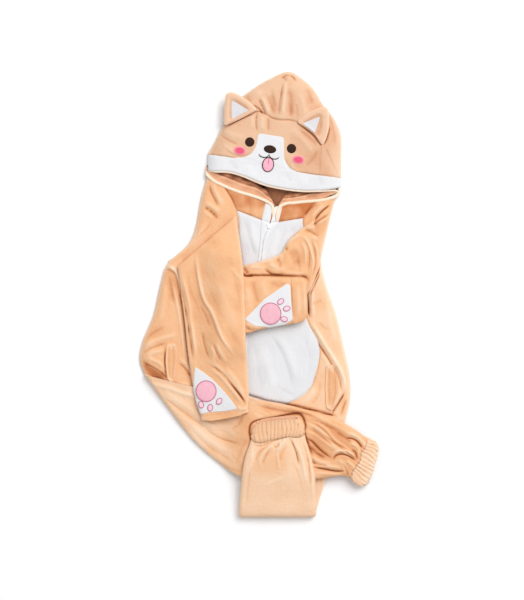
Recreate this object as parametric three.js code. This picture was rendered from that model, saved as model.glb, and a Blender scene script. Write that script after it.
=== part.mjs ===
// A child's plush onesie with an animal hood, laid on its back and partly folded up.
// X to the viewer's right, Y towards the hood, Z up from the surface. Millimetres.
// "Right" and "left" in the names are the wearer's; the wearer's right has the smaller X.
import * as THREE from 'three';

// ---- cloth and stack heights ----
const PLUSH = 3;            // plush cloth, base and pile
const TRIM = 1.4;           // thin cloth of the sewn-on pieces
const SEAM = 0.3;           // room between pieces where they are sewn
const LIFT = 0.4;           // room under a piece that lies on another
const TORSO_TOP = 14;       // front of the body above the surface
const TORSO_ROLL = 15;      // width over which the front turns down at the sides
const HOOD_TOP = 22;
const HOOD_ROLL = 30;
const HOOD_RIM = 1.2;       // the hood's front stops this much higher than its back
const LAYER_ONE = 16.1;     // underside of what lies on the body
const SLEEVE_LOFT = 8.6;    // two layers of a sleeve lying flat
const LEG_LOFT = 9.6;

// ---- colours ----
const ORANGE = 0xf2be8c;
const WHITE = 0xf0eff0;
const CREAM = 0xfde8cf;
const PEACH = 0xe0a57e;
const PINK = 0xf6b9c6;
const ROSE = 0xe9809c;
const BROWN = 0x4b2c18;

const group = new THREE.Group();

// ---- small helpers ----
const clamp = (x, lo, hi) => Math.min(hi, Math.max(lo, x));
const ramp = (x, from, to) => clamp((x - from) / (to - from), 0, 1);
const mix = (a, b, t) => a + (b - a) * t;
const vec = (x, y, z) => new THREE.Vector3(x, y, z);

// Smooth value of one column of a table at t from 0 (first row) to 1 (last row).
function column(rows, key, t) {
  const place = clamp(t, 0, 1) * (rows.length - 1);
  const i = Math.min(Math.floor(place), rows.length - 2);
  const at = (k) => rows[clamp(k, 0, rows.length - 1)][key];
  const [a, b, c, d] = [at(i - 1), at(i), at(i + 1), at(i + 2)];
  const f = place - i;
  const first = (c - a) / 2;
  const last = (d - b) / 2;
  return b + f * (first + f * (3 * (c - b) - 2 * first - last + f * (2 * (b - c) + first + last)));
}

// Evenly spaced numbers from lo to hi.
function steps(count, lo = 0, hi = 1) {
  return Array.from({ length: count + 1 }, (_, i) => mix(lo, hi, i / count));
}

function quad(index, a, b, c, d) {
  index.push(a, b, c, a, c, d);
}

// A closed body from vertices and faces, turned so that its faces look outward.
function closed(points, index) {
  let volume = 0;
  for (let i = 0; i < index.length; i += 3) {
    const [a, b, c] = [points[index[i]], points[index[i + 1]], points[index[i + 2]]];
    volume += a.dot(b.clone().cross(c));
  }
  if (volume < 0) {
    index.reverse();
  }
  const geometry = new THREE.BufferGeometry();
  geometry.setAttribute('position', new THREE.Float32BufferAttribute(points.flatMap((p) => p.toArray()), 3));
  geometry.setIndex(index);
  return geometry;
}

// Two grids of points, over and under, closed along their edges.
function slab(over, under) {
  const rows = over.length;
  const cols = over[0].length;
  const index = [];
  const top = (i, j) => i * cols + j;
  const low = (i, j) => rows * cols + i * cols + j;
  for (let i = 0; i < rows - 1; i += 1) {
    for (let j = 0; j < cols - 1; j += 1) {
      quad(index, top(i, j), top(i + 1, j), top(i + 1, j + 1), top(i, j + 1));
      quad(index, low(i, j), low(i, j + 1), low(i + 1, j + 1), low(i + 1, j));
    }
  }
  for (let i = 0; i < rows - 1; i += 1) {
    quad(index, top(i, 0), low(i, 0), low(i + 1, 0), top(i + 1, 0));
    quad(index, top(i + 1, cols - 1), low(i + 1, cols - 1), low(i, cols - 1), top(i, cols - 1));
  }
  for (let j = 0; j < cols - 1; j += 1) {
    quad(index, top(0, j + 1), low(0, j + 1), low(0, j), top(0, j));
    quad(index, top(rows - 1, j), low(rows - 1, j), low(rows - 1, j + 1), top(rows - 1, j + 1));
  }
  return closed([...over.flat(), ...under.flat()], index);
}

// Cloth of even thickness about the surface point(u, v).
function sheet(us, vs, point, thickness = PLUSH) {
  const step = 1e-3;
  const normal = (u, v) => {
    const alongU = point(clamp(u + step, 0, 1), v).sub(point(clamp(u - step, 0, 1), v));
    const alongV = point(u, clamp(v + step, 0, 1)).sub(point(u, clamp(v - step, 0, 1)));
    return alongU.cross(alongV).normalize();
  };
  const moved = (side) => us.map((u) => vs.map((v) => point(u, v).addScaledVector(normal(u, v), side)));
  return slab(moved(thickness / 2), moved(-thickness / 2));
}

// One section of a flattened tube: both flats and the turned edges between them.
const RING = [
  ...[-1, -0.6, -0.2, 0.2, 0.6].map((flat) => ({ flat, turn: -90 })),
  ...[-90, -45, 0, 45, 90].map((turn) => ({ flat: 1, turn })),
  ...[0.6, 0.2, -0.2, -0.6].map((flat) => ({ flat, turn: 90 })),
  ...[90, 135, 180, 225].map((turn) => ({ flat: -1, turn })),
];

// A flattened tube with open ends. Each row of the table gives the two edges in plan (ax, ay) and
// (bx, by), the height of its underside, its loft and how far the section leans back in a fold.
function tube(rows, places, bed, wall = PLUSH) {
  const ring = (t, inset) => {
    const at = (key) => column(rows, key, t);
    const a = vec(at('ax'), at('ay'), 0);
    const b = vec(at('bx'), at('by'), 0);
    const loft = at('loft');
    const lean = THREE.MathUtils.degToRad(at('lean'));
    const across = b.clone().sub(a);
    const half = across.length() / 2;
    across.normalize();
    const back = vec(0, 0, 1).cross(across);
    const up = vec(0, 0, Math.cos(lean)).addScaledVector(back, Math.sin(lean));
    const middle = a.clone().lerp(b, 0.5);
    middle.z = at('z') + loft / 2;
    return RING.map(({ flat, turn }) => {
      const angle = THREE.MathUtils.degToRad(turn);
      const radius = loft / 2 - inset;
      const p = middle.clone();
      p.addScaledVector(across, flat * (half - loft / 2) + radius * Math.cos(angle));
      p.addScaledVector(up, radius * Math.sin(angle));
      p.z += bed ? bed(p.x, p.y) : 0;
      return p;
    });
  };
  const outer = places.map((t) => ring(t, 0));
  const inner = places.map((t) => ring(t, wall));
  const n = RING.length;
  const index = [];
  const out = (i, k) => i * n + (k % n);
  const inn = (i, k) => (outer.length + i) * n + (k % n);
  for (let i = 0; i < places.length - 1; i += 1) {
    for (let k = 0; k < n; k += 1) {
      quad(index, out(i, k), out(i + 1, k), out(i + 1, k + 1), out(i, k + 1));
      quad(index, inn(i, k), inn(i, k + 1), inn(i + 1, k + 1), inn(i + 1, k));
    }
  }
  const end = places.length - 1;
  for (let k = 0; k < n; k += 1) {
    quad(index, out(0, k), out(0, k + 1), inn(0, k + 1), inn(0, k));
    quad(index, out(end, k + 1), out(end, k), inn(end, k), inn(end, k + 1));
  }
  return closed([...outer.flat(), ...inner.flat()], index);
}

// Highest point of a body above (x, y), or the given height where the body has nothing there.
function heightOn(geometries, x, y, otherwise) {
  let best = otherwise;
  for (const geometry of geometries) {
    const p = geometry.attributes.position;
    const index = geometry.index.array;
    for (let i = 0; i < index.length; i += 3) {
      const [a, b, c] = [index[i], index[i + 1], index[i + 2]];
      const [ax, ay, bx, by] = [p.getX(a), p.getY(a), p.getX(b), p.getY(b)];
      const [cx, cy] = [p.getX(c), p.getY(c)];
      const area = (bx - ax) * (cy - ay) - (cx - ax) * (by - ay);
      if (Math.abs(area) < 1e-6) {
        continue;
      }
      const v = ((x - ax) * (cy - ay) - (cx - ax) * (y - ay)) / area;
      const w = ((bx - ax) * (y - ay) - (x - ax) * (by - ay)) / area;
      if (v >= -1e-6 && w >= -1e-6 && v + w <= 1 + 1e-6) {
        best = Math.max(best, p.getZ(a) * (1 - v - w) + p.getZ(b) * v + p.getZ(c) * w);
      }
    }
  }
  return best;
}

// A thin piece lying on others: rings from its middle out to its outline, following what is below.
function lying(outline, grounds, thickness, lift, bands) {
  const middle = outline.reduce((sum, p) => sum.add(p), new THREE.Vector2()).divideScalar(outline.length);
  const floor = (x, y) => heightOn(grounds, x, y, 0) + lift;
  const points = [vec(middle.x, middle.y, floor(middle.x, middle.y))];
  for (let r = 1; r <= bands; r += 1) {
    for (const p of outline) {
      const x = mix(middle.x, p.x, r / bands);
      const y = mix(middle.y, p.y, r / bands);
      points.push(vec(x, y, floor(x, y)));
    }
  }
  const n = outline.length;
  const total = points.length;
  const index = [];
  const ring = (r, k) => 1 + (r - 1) * n + (k % n);
  for (let k = 0; k < n; k += 1) {
    index.push(0, ring(1, k + 1), ring(1, k));
    index.push(total, total + ring(1, k), total + ring(1, k + 1));
    for (let r = 1; r < bands; r += 1) {
      quad(index, ring(r, k), ring(r, k + 1), ring(r + 1, k + 1), ring(r + 1, k));
      quad(index, total + ring(r, k), total + ring(r + 1, k), total + ring(r + 1, k + 1), total + ring(r, k + 1));
    }
    quad(index, ring(bands, k), ring(bands, k + 1), total + ring(bands, k + 1), total + ring(bands, k));
  }
  const raised = points.map((p) => vec(p.x, p.y, p.z + thickness));
  return closed([...points, ...raised], index);
}

// Outline of an oval, and of a polygon with extra points along its sides.
function oval(x, y, rx, ry, turn = 0, count = 16) {
  const angle = THREE.MathUtils.degToRad(turn);
  return steps(count).slice(0, -1).map((t) => {
    const p = new THREE.Vector2(rx * Math.cos(t * 2 * Math.PI), ry * Math.sin(t * 2 * Math.PI));
    return p.rotateAround(new THREE.Vector2(), angle).add(new THREE.Vector2(x, y));
  });
}

function polygon(corners, pitch = 16) {
  return corners.flatMap(([x, y], i) => {
    const [nx, ny] = corners[(i + 1) % corners.length];
    const count = Math.max(1, Math.round(Math.hypot(nx - x, ny - y) / pitch));
    return steps(count).slice(0, -1).map((t) => new THREE.Vector2(mix(x, nx, t), mix(y, ny, t)));
  });
}

// A corded edge following a line of points, of rounded section.
function edging(points, width, height) {
  const curve = new THREE.CatmullRomCurve3(points);
  const section = steps(8).slice(0, -1).map((t) => [Math.cos(t * 2 * Math.PI), Math.sin(t * 2 * Math.PI)]);
  const count = 9;
  const rings = steps(count).map((t) => {
    const p = curve.getPointAt(t);
    const side = curve.getTangentAt(t).cross(vec(0, 0, 1)).normalize();
    return section.map(([c, s]) => p.clone().addScaledVector(side, (c * width) / 2).add(vec(0, 0, (s * height) / 2)));
  });
  const n = section.length;
  const index = [];
  for (let i = 0; i < count; i += 1) {
    for (let k = 0; k < n; k += 1) {
      const next = (k + 1) % n;
      quad(index, i * n + k, (i + 1) * n + k, (i + 1) * n + next, i * n + next);
    }
  }
  for (let k = 1; k < n - 1; k += 1) {
    index.push(0, k, k + 1);
    index.push(count * n, count * n + k + 1, count * n + k);
  }
  return closed(rings.flat(), index);
}

// A flat plate standing on height z, from corners in plan.
function plate(corners, z, thickness) {
  const shape = new THREE.Shape(corners.map(([x, y]) => new THREE.Vector2(x, y)));
  const geometry = new THREE.ExtrudeGeometry(shape, { depth: thickness, bevelEnabled: false });
  geometry.translate(0, 0, z);
  return geometry;
}

const made = {};

function add(name, geometry, colour, roughness = 0.95) {
  const material = new THREE.MeshStandardMaterial({ color: colour, roughness, metalness: 0 });
  const mesh = new THREE.Mesh(geometry, material);
  mesh.name = name;
  group.add(mesh);
  made[name] = geometry;
}

// ---- body: outline and seams at each height ----
// y at the wearer's right edge, at the zip and at the left edge; x of the edges and seams.
const TORSO = [
  { yRight: 233, yZip: 175, yLeft: 197, right: -106, raglan: -76, zip: 28, seam: 116, left: 152 },
  { yRight: 195, yZip: 142, yLeft: 161, right: -117, raglan: -46, zip: 20, seam: 86, left: 142 },
  { yRight: 112, yZip: 109, yLeft: 109, right: -136, raglan: -42, zip: 8, seam: 94, left: 130 },
  { yRight: 62, yZip: 65, yLeft: 66, right: -184, raglan: -34, zip: 4, seam: 100, left: 122 },
  { yRight: 23, yZip: 19, yLeft: 19, right: -198, raglan: -34, zip: -4, seam: 98, left: 132 },
  { yRight: -39, yZip: -41, yLeft: -41, right: -212, raglan: -34, zip: -14, seam: 96, left: 152 },
  { yRight: -93, yZip: -101, yLeft: -101, right: -234, raglan: -34, zip: -22, seam: 118, left: 166 },
  { yRight: -128, yZip: -151, yLeft: -157, right: -240, raglan: -34, zip: -24, seam: 116, left: 178 },
  { yRight: -151, yZip: -183, yLeft: -207, right: -234, raglan: -32, zip: -24, seam: 108, left: 180 },
  { yRight: -166, yZip: -207, yLeft: -251, right: -224, raglan: -30, zip: -22, seam: 78, left: 170 },
];
const YOKE_END = 1 / (TORSO.length - 1);
const TORSO_ROWS = steps((TORSO.length - 1) * 2);

function torsoY(t, x) {
  const zip = column(TORSO, 'zip', t);
  const side = x < zip ? 'Right' : 'Left';
  const edge = column(TORSO, x < zip ? 'right' : 'left', t);
  return mix(column(TORSO, 'yZip', t), column(TORSO, `y${side}`, t), (x - zip) / (edge - zip));
}

// Middle of the front cloth; the angle turns it down at the two sides of the body.
function frontPoint(t, x) {
  const fromEdge = Math.min(x - column(TORSO, 'right', t), column(TORSO, 'left', t) - x) - PLUSH / 2;
  const turn = 1 - clamp(fromEdge / TORSO_ROLL, 0, 1);
  const base = PLUSH + SEAM;
  return vec(x, torsoY(t, x), base + (TORSO_TOP - PLUSH / 2 - base) * Math.sqrt(1 - turn * turn));
}

// Front panel between two seams, from row start to row end; "roll" marks an edge that turns down.
function frontPanel(start, end, from, to, roll) {
  const us = TORSO_ROWS.filter((t) => t >= start - 1e-6 && t <= end + 1e-6).map((t) => (t - start) / (end - start));
  const flat = steps(3).slice(1);
  const turned = [0, 0.018, 0.08, 0.17];
  const vs = roll === 'first' ? [...turned, ...flat.map((f) => mix(0.17, 1, f))] : steps(4);
  const ordered = roll === 'last' ? [...turned, ...flat.map((f) => mix(0.17, 1, f))].map((v) => 1 - v).reverse() : vs;
  const point = (u, v) => {
    const t = mix(start, end, u);
    const x0 = column(TORSO, from, t) + (roll === 'first' ? PLUSH / 2 : SEAM / 2);
    const x1 = column(TORSO, to, t) - (roll === 'last' ? PLUSH / 2 : SEAM / 2);
    const p = frontPoint(t, mix(x0, x1, v));
    p.y -= start > 0 ? SEAM * (1 - u) : 0;
    return p;
  };
  return sheet(us, ordered, point);
}

// The back lies flat on the surface and follows the same outline.
const backCorners = [
  ...TORSO_ROWS.map((t) => [column(TORSO, 'right', t), column(TORSO, 'yRight', t)]),
  [column(TORSO, 'zip', 1), column(TORSO, 'yZip', 1)],
  ...TORSO_ROWS.slice().reverse().map((t) => [column(TORSO, 'left', t), column(TORSO, 'yLeft', t)]),
];
add('body_back', plate(backCorners, 0, PLUSH), ORANGE);
add('front_right', frontPanel(0, 1, 'right', 'raglan', 'first'), ORANGE);
add('front_left', frontPanel(0, 1, 'seam', 'left', 'last'), ORANGE);
add('yoke_right', frontPanel(0, YOKE_END, 'raglan', 'zip', ''), ORANGE);
add('yoke_left', frontPanel(0, YOKE_END, 'zip', 'seam', ''), ORANGE);
add('belly_right', frontPanel(YOKE_END, 1, 'raglan', 'zip', ''), WHITE);
add('belly_left', frontPanel(YOKE_END, 1, 'zip', 'seam', ''), WHITE);

// ---- zip: tapes either side of the zip line, joined chain below the slider ----
const TAPE_WIDTH = 11;
const SLIDER_AT = 0.13;     // place of the slider down the body, 0 at the neck, 1 at the crotch
const TAPE_ROWS = steps(18, 0.004, 0.985);

function strip(ts, leftOf, rightOf, z, thickness) {
  const over = ts.map((t) => [leftOf(t), rightOf(t)].map((x) => vec(x, torsoY(t, x), z + thickness)));
  const under = over.map((row) => row.map((p) => vec(p.x, p.y, z)));
  return slab(over, under);
}

const zipX = (t) => column(TORSO, 'zip', t);
const opening = (t) => 1.5 + 3 * (1 - ramp(t, 0, SLIDER_AT));
const TAPE_Z = TORSO_TOP + SEAM;
add('zip_tape_right', strip(TAPE_ROWS, (t) => zipX(t) - TAPE_WIDTH, (t) => zipX(t) - opening(t), TAPE_Z, TRIM), WHITE);
add('zip_tape_left', strip(TAPE_ROWS, (t) => zipX(t) + opening(t), (t) => zipX(t) + TAPE_WIDTH, TAPE_Z, TRIM), WHITE);
const CHAIN_ROWS = TAPE_ROWS.filter((t) => t > SLIDER_AT);
add('zip_chain', strip(CHAIN_ROWS, (t) => zipX(t) - 0.9, (t) => zipX(t) + 0.9, TAPE_Z, TRIM), WHITE, 0.6);
const sliderX = zipX(SLIDER_AT);
const sliderY = torsoY(SLIDER_AT, sliderX);
const sliderCorners = [[-3, -5], [3, -5], [4.5, 1], [4, 5], [-4, 5], [-4.5, 1]].map(([x, y]) => [sliderX + x, sliderY + y]);
add('zip_slider', plate(sliderCorners, TAPE_Z + TRIM + SEAM, 2.6), WHITE, 0.5);

// ---- hood: drawn in its own axes, turned a little clockwise ----
const HOOD_TILT = -8.9;
const HOOD_AT = { x: 24, y: 289 };
const MOUTH = -64;          // the brim's free edge, along the hood's own up axis
const BRIM_TOP = -33;
const FACE_SIDE = { right: -104, left: 95 };

function hoodPlan(a, b) {
  const p = new THREE.Vector2(a, b).rotateAround(new THREE.Vector2(), THREE.MathUtils.degToRad(HOOD_TILT));
  return [p.x + HOOD_AT.x, p.y + HOOD_AT.y];
}

// The seam over the face: an arch between the two ends of the ears.
function archB(a) {
  const u = (a - FACE_SIDE.right) / (FACE_SIDE.left - FACE_SIDE.right);
  return mix(28, 22, u) + 40 * (1 - Math.abs(2 * u - 1) ** 3);
}

// The crown fans out from the arch (inner) to the hood's outline (outer).
const CROWN = [
  { inner: -100, outerA: -104.7, outerB: 32 },
  { inner: -89, outerA: -100, outerB: 48 },
  { inner: -74, outerA: -91, outerB: 69 },
  { inner: -55, outerA: -78, outerB: 91 },
  { inner: -36, outerA: -58, outerB: 113 },
  { inner: -14, outerA: -30, outerB: 137 },
  { inner: 7, outerA: 7, outerB: 159 },
  { inner: 28, outerA: 36, outerB: 150 },
  { inner: 48, outerA: 64, outerB: 131 },
  { inner: 66, outerA: 86, outerB: 105 },
  { inner: 82, outerA: 111, outerB: 82 },
  { inner: 95, outerA: 131, outerB: 50 },
  { inner: 98, outerA: 139, outerB: 6 },
  { inner: 100, outerA: 145, outerB: -32 },
];
const CENTRE_SEAM = 6;
const ARCH_END = 11;
const HOOD_OUTLINE = [
  [-118.5, -74.3], [-122, -66], [-124, BRIM_TOP], [-107, 24],
  ...CROWN.map(({ outerA, outerB }) => [outerA, outerB]),
  [149, -57], [141, -70.5],
];

// Middle of the hood's front cloth at (a, b), turned down towards the outline.
function hoodPoint(a, b) {
  const p = new THREE.Vector2(a, b);
  let nearest = Infinity;
  for (let i = 1; i < HOOD_OUTLINE.length - 2; i += 1) {
    const from = new THREE.Vector2(...HOOD_OUTLINE[i]);
    const along = new THREE.Vector2(...HOOD_OUTLINE[i + 1]).sub(from);
    const t = clamp(p.clone().sub(from).dot(along) / along.lengthSq(), 0, 1);
    nearest = Math.min(nearest, p.distanceTo(from.addScaledVector(along, t)));
  }
  const turn = 1 - clamp((nearest - PLUSH / 2) / HOOD_ROLL, 0, 1);
  const base = PLUSH + SEAM + HOOD_RIM;
  const [x, y] = hoodPlan(a, b);
  return vec(x, y, base + (HOOD_TOP - PLUSH / 2 - base) * Math.sqrt(1 - turn * turn));
}

const backHood = HOOD_OUTLINE.map(([a, b]) => hoodPlan(a, b));
add('hood_back', plate(backHood, 0, PLUSH), PEACH);

const brimLower = (a) => MOUTH - 2 - 10 * Math.exp(-(((a - 35) / 55) ** 2));
const BRIM_ACROSS = [0, 0.016, 0.06, 0.115, 0.25, 0.38, 0.5, 0.62, 0.75, 0.885, 0.94, 0.984, 1];
add('hood_brim', sheet(steps(3), BRIM_ACROSS, (u, v) => {
  const left = mix(-121.5, -123.8, u) + PLUSH / 2;
  const right = mix(147.5, 145, u) - PLUSH / 2;
  const a = mix(left, right, v);
  return hoodPoint(a, mix(brimLower(a), BRIM_TOP - SEAM, u));
}), WHITE);

// Face rows keep the same a along the arch as the crown does, so the two edges match.
const FACE_ACROSS = CROWN.slice(0, ARCH_END + 1).map(({ inner }) => {
  return (inner - FACE_SIDE.right) / (FACE_SIDE.left - FACE_SIDE.right);
});
add('hood_face', sheet(steps(5), [0.0075, ...FACE_ACROSS], (u, v) => {
  const left = mix(-124, FACE_SIDE.right, u);
  const right = mix(99.5, FACE_SIDE.left, u) - SEAM;
  const a = mix(left, right, v);
  const arch = archB(mix(FACE_SIDE.right, FACE_SIDE.left, v)) - SEAM;
  return hoodPoint(a, mix(BRIM_TOP + SEAM, arch, u));
}), ORANGE);

function crownPanel(first, last, shift) {
  const rows = CROWN.slice(first, last + 1);
  const point = (u, v) => {
    const place = v * (rows.length - 1);
    const i = Math.min(Math.floor(place), rows.length - 2);
    const ray = (row, k) => {
      const innerB = first + k > ARCH_END ? [0, BRIM_TOP][first + k - ARCH_END - 1] : archB(row.inner) + SEAM;
      const innerA = row.inner + (first + k >= ARCH_END ? 0.6 : 0);
      const from = new THREE.Vector2(row.outerA, row.outerB);
      const to = new THREE.Vector2(innerA, innerB);
      const inset = Math.min(1, (PLUSH / 2) / from.distanceTo(to));
      return from.lerp(to, mix(inset, 1, u));
    };
    const p = ray(rows[i], i).lerp(ray(rows[i + 1], i + 1), place - i);
    return hoodPoint(p.x + shift * (place / (rows.length - 1) === (shift > 0 ? 0 : 1) ? SEAM / 2 : 0), p.y);
  };
  return sheet([0, 0.045, 0.17, 0.36, 0.65, 1], steps(rows.length - 1), point);
}
add('crown_right', crownPanel(0, CENTRE_SEAM, -1), ORANGE);
add('crown_left', crownPanel(CENTRE_SEAM, CROWN.length - 1, 1), ORANGE);

// ---- mouth of the hood: inner facings and the cream edging of the front neck ----
function facing(lowA, lowB, highA, highB) {
  return sheet(steps(6), steps(3), (u, v) => {
    const low = vec(...lowA, 0).lerp(vec(...lowB, 0), u);
    const high = vec(...highA, 0).lerp(vec(...highB, 0), u);
    const p = low.lerp(high, v);
    p.z = mix(TORSO_TOP - 3.5, 6.5, v);
    return p;
  });
}
add('facing_right', facing([-88, 231], [24, 183], [-82, 252], [10, 224]), PEACH);
add('facing_left', facing([38, 182.5], [136, 200], [60, 212], [132, 226]), PEACH);

function neckEdge(from, to) {
  return edging(steps(6, from, to).map((x) => vec(x, torsoY(0, x) + 3, TORSO_TOP - 2.6)), 4.4, 5);
}
add('neck_edge_right', neckEdge(-94, 25), CREAM);
add('neck_edge_left', neckEdge(31, 142), CREAM);

// ---- ears: flat double triangles, white inside ----
function rounded(corners, radius) {
  const n = corners.length;
  const points = corners.map(([x, y]) => new THREE.Vector2(x, y));
  return points.flatMap((p, i) => {
    const before = points[(i + n - 1) % n].clone().sub(p).setLength(radius).add(p);
    const after = points[(i + 1) % n].clone().sub(p).setLength(radius).add(p);
    return steps(4).map((t) => new THREE.QuadraticBezierCurve(before, p, after).getPoint(t).toArray());
  });
}
const EAR_Z = HOOD_TOP + 0.4;
const EAR_LOFT = 5;
const EARS = {
  right: { outer: [[-66, 404], [-72, 333], [-6, 367]], inner: [[-57, 386], [-57, 347], [-24, 365]] },
  left: { outer: [[71, 344], [122, 373], [127, 297]], inner: [[86, 338], [117, 354], [110, 318]] },
};
for (const [side, { outer, inner }] of Object.entries(EARS)) {
  add(`ear_${side}`, plate(rounded(outer, 13), EAR_Z, EAR_LOFT), ORANGE);
  add(`ear_inner_${side}`, plate(rounded(inner, 6), EAR_Z + EAR_LOFT + SEAM, TRIM), WHITE);
}

// ---- face: plain sewn shapes on the hood, laid out about its own middle line ----
const FACE_MIDDLE = -4;
const FACE_Z = [made.hood_face, made.hood_brim];
const onFace = (points) => points.map(([a, b]) => hoodPlan(FACE_MIDDLE + a, b));
const faceOval = (a, b, rx, ry) => oval(...hoodPlan(FACE_MIDDLE + a, b), rx, ry, HOOD_TILT);
const BLAZE = [[-29, 24], [-24, 29], [22, 29], [27, 24], [27, -4], [32, -22], [44, -36], [0, -54], [-46, -34], [-34, -20], [-29, -4]];
add('face_blaze', lying(polygon(onFace(BLAZE), 18), FACE_Z, TRIM, LIFT, 3), WHITE);
add('nose', lying(faceOval(0, -1, 12.5, 8), [made.face_blaze], TRIM, LIFT, 1), BROWN);
add('tongue', lying(faceOval(1, -32, 11, 14), [made.face_blaze], TRIM, LIFT, 1), PINK);
for (const [side, sign] of [['right', -1], ['left', 1]]) {
  add(`eye_${side}`, lying(faceOval(42 * sign, 7, 9.5, 9.5), FACE_Z, TRIM, LIFT, 1), BROWN);
  add(`cheek_${side}`, lying(faceOval(59 * sign, -13, 12.5, 8.5), FACE_Z, TRIM, LIFT, 1), ROSE);
}

// ---- legs: the right one crosses over, the left one folds up over it ----
const LEG_STEP = 15.2;      // height of the crossing leg above the surface
const legBed = (x) => LEG_STEP * ramp(x, -75, -22) * (1 - 0.9 * ramp(x, 184, 238));
const RIGHT_LEG = [
  { ax: -223, ay: -170, bx: -24, by: -211, z: 0, loft: 10, lean: 0 },
  { ax: -190, ay: -217, bx: 8, by: -213, z: 0, loft: LEG_LOFT, lean: 0 },
  { ax: -136, ay: -287, bx: 42, by: -217, z: 0, loft: LEG_LOFT, lean: 0 },
  { ax: -90, ay: -329, bx: 78, by: -226, z: 0, loft: LEG_LOFT, lean: 0 },
  { ax: -34, ay: -365, bx: 120, by: -239, z: 0, loft: LEG_LOFT, lean: 0 },
  { ax: 50, ay: -373, bx: 152, by: -249, z: 0, loft: LEG_LOFT, lean: 0 },
  { ax: 116, ay: -367, bx: 180, by: -263, z: 0, loft: LEG_LOFT, lean: 0 },
  { ax: 168, ay: -361, bx: 205, by: -280, z: 0, loft: LEG_LOFT, lean: 0 },
  { ax: 188, ay: -373, bx: 222, by: -291, z: 0, loft: LEG_LOFT, lean: 0 },
  { ax: 212, ay: -389, bx: 242, by: -303, z: 0, loft: LEG_LOFT, lean: 0 },
];
const rightAnkle = 7.5 / 9;
add('leg_right', tube(RIGHT_LEG, steps(12, 0, rightAnkle), legBed), ORANGE);
add('ankle_cuff_right', tube(RIGHT_LEG, steps(2, rightAnkle + 0.003, 1), legBed), ORANGE);

const FOLD = 5.3;           // half the height between the two layers at the turned-up fold
const LOW = 0;
const HIGH = LEG_STEP + LEG_LOFT + 0.8;
const LEFT_LEG = [
  { ax: -8, ay: -216, bx: 168, by: -256, z: LOW, loft: LEG_LOFT, lean: 0 },
  { ax: -10, ay: -291, bx: 156, by: -311, z: LOW, loft: LEG_LOFT, lean: 0 },
  { ax: -18, ay: -361, bx: 134, by: -363, z: LOW, loft: LEG_LOFT, lean: 0 },
  { ax: -34, ay: -411, bx: 118, by: -412, z: LOW, loft: LEG_LOFT, lean: 0 },
  { ax: -40, ay: -433, bx: 112, by: -433, z: LOW, loft: LEG_LOFT, lean: 0 },
  { ax: -42, ay: -439, bx: 112, by: -439, z: LOW + FOLD, loft: LEG_LOFT, lean: 90 },
  { ax: -42, ay: -433, bx: 112, by: -433, z: LOW + 2 * FOLD, loft: LEG_LOFT, lean: 180 },
  { ax: -40, ay: -405, bx: 112, by: -407, z: 17, loft: LEG_LOFT, lean: 180 },
  { ax: -38, ay: -383, bx: 111, by: -387, z: HIGH, loft: LEG_LOFT, lean: 180 },
  { ax: -35, ay: -352, bx: 109, by: -358, z: HIGH, loft: LEG_LOFT, lean: 180 },
  { ax: -29, ay: -320, bx: 102, by: -324, z: HIGH, loft: LEG_LOFT, lean: 180 },
  { ax: -18, ay: -292, bx: 89, by: -286, z: HIGH, loft: LEG_LOFT, lean: 180 },
  { ax: -14, ay: -272, bx: 86, by: -265, z: HIGH, loft: LEG_LOFT, lean: 180 },
  { ax: -10, ay: -253, bx: 80, by: -243, z: HIGH, loft: LEG_LOFT, lean: 180 },
];
const leftLegEnd = 11 / 13;
const LEFT_LEG_PLACES = [0, 1, 2, 3, 4, 4.5, 5, 5.5, 6, 7, 8, 9, 10, 11].map((row) => row / 13);
add('leg_left', tube(LEFT_LEG, LEFT_LEG_PLACES, null), ORANGE);
add('ankle_cuff_left', tube(LEFT_LEG, steps(2, leftLegEnd + 0.002, 1), null), ORANGE);

// ---- sleeves: the left one crosses the chest and doubles back, the right one lies over it ----
const ELBOW = 2 * SLEEVE_LOFT + 1.2;
const HIP = 10.5;
function sleeveBed(x, y) {
  const elbow = ramp(x, -128, -72) * (1 - ramp(y, 74, 122)) * ramp(y, -136, -92);
  const hip = ramp(x, -88, -24) * ramp(y, -132, -168);
  return elbow * ELBOW + hip * HIP;
}
const RIGHT_SLEEVE = [
  { ax: -164, ay: 55, bx: -48, by: 155, z: LAYER_ONE, loft: 7.4, lean: 0 },
  { ax: -160, ay: 29, bx: -41, by: 113, z: LAYER_ONE, loft: SLEEVE_LOFT, lean: 0 },
  { ax: -156, ay: -5, bx: -34, by: 57, z: LAYER_ONE, loft: SLEEVE_LOFT, lean: 0 },
  { ax: -150, ay: -51, bx: -31, by: -11, z: LAYER_ONE, loft: SLEEVE_LOFT, lean: 0 },
  { ax: -144, ay: -111, bx: -28, by: -91, z: LAYER_ONE, loft: SLEEVE_LOFT, lean: 0 },
  { ax: -136, ay: -167, bx: -24, by: -161, z: LAYER_ONE, loft: SLEEVE_LOFT, lean: 0 },
  { ax: -127, ay: -214, bx: -22, by: -209, z: LAYER_ONE, loft: SLEEVE_LOFT, lean: 0 },
  { ax: -114, ay: -253, bx: -30, by: -246, z: LAYER_ONE, loft: SLEEVE_LOFT, lean: 0 },
];
const rightWrist = 6.62 / 7;
add('sleeve_right', tube(RIGHT_SLEEVE, steps(14, 0, rightWrist), sleeveBed), ORANGE);
add('cuff_right', tube(RIGHT_SLEEVE, steps(2, rightWrist + 0.0015, 1), sleeveBed), ORANGE);

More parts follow.
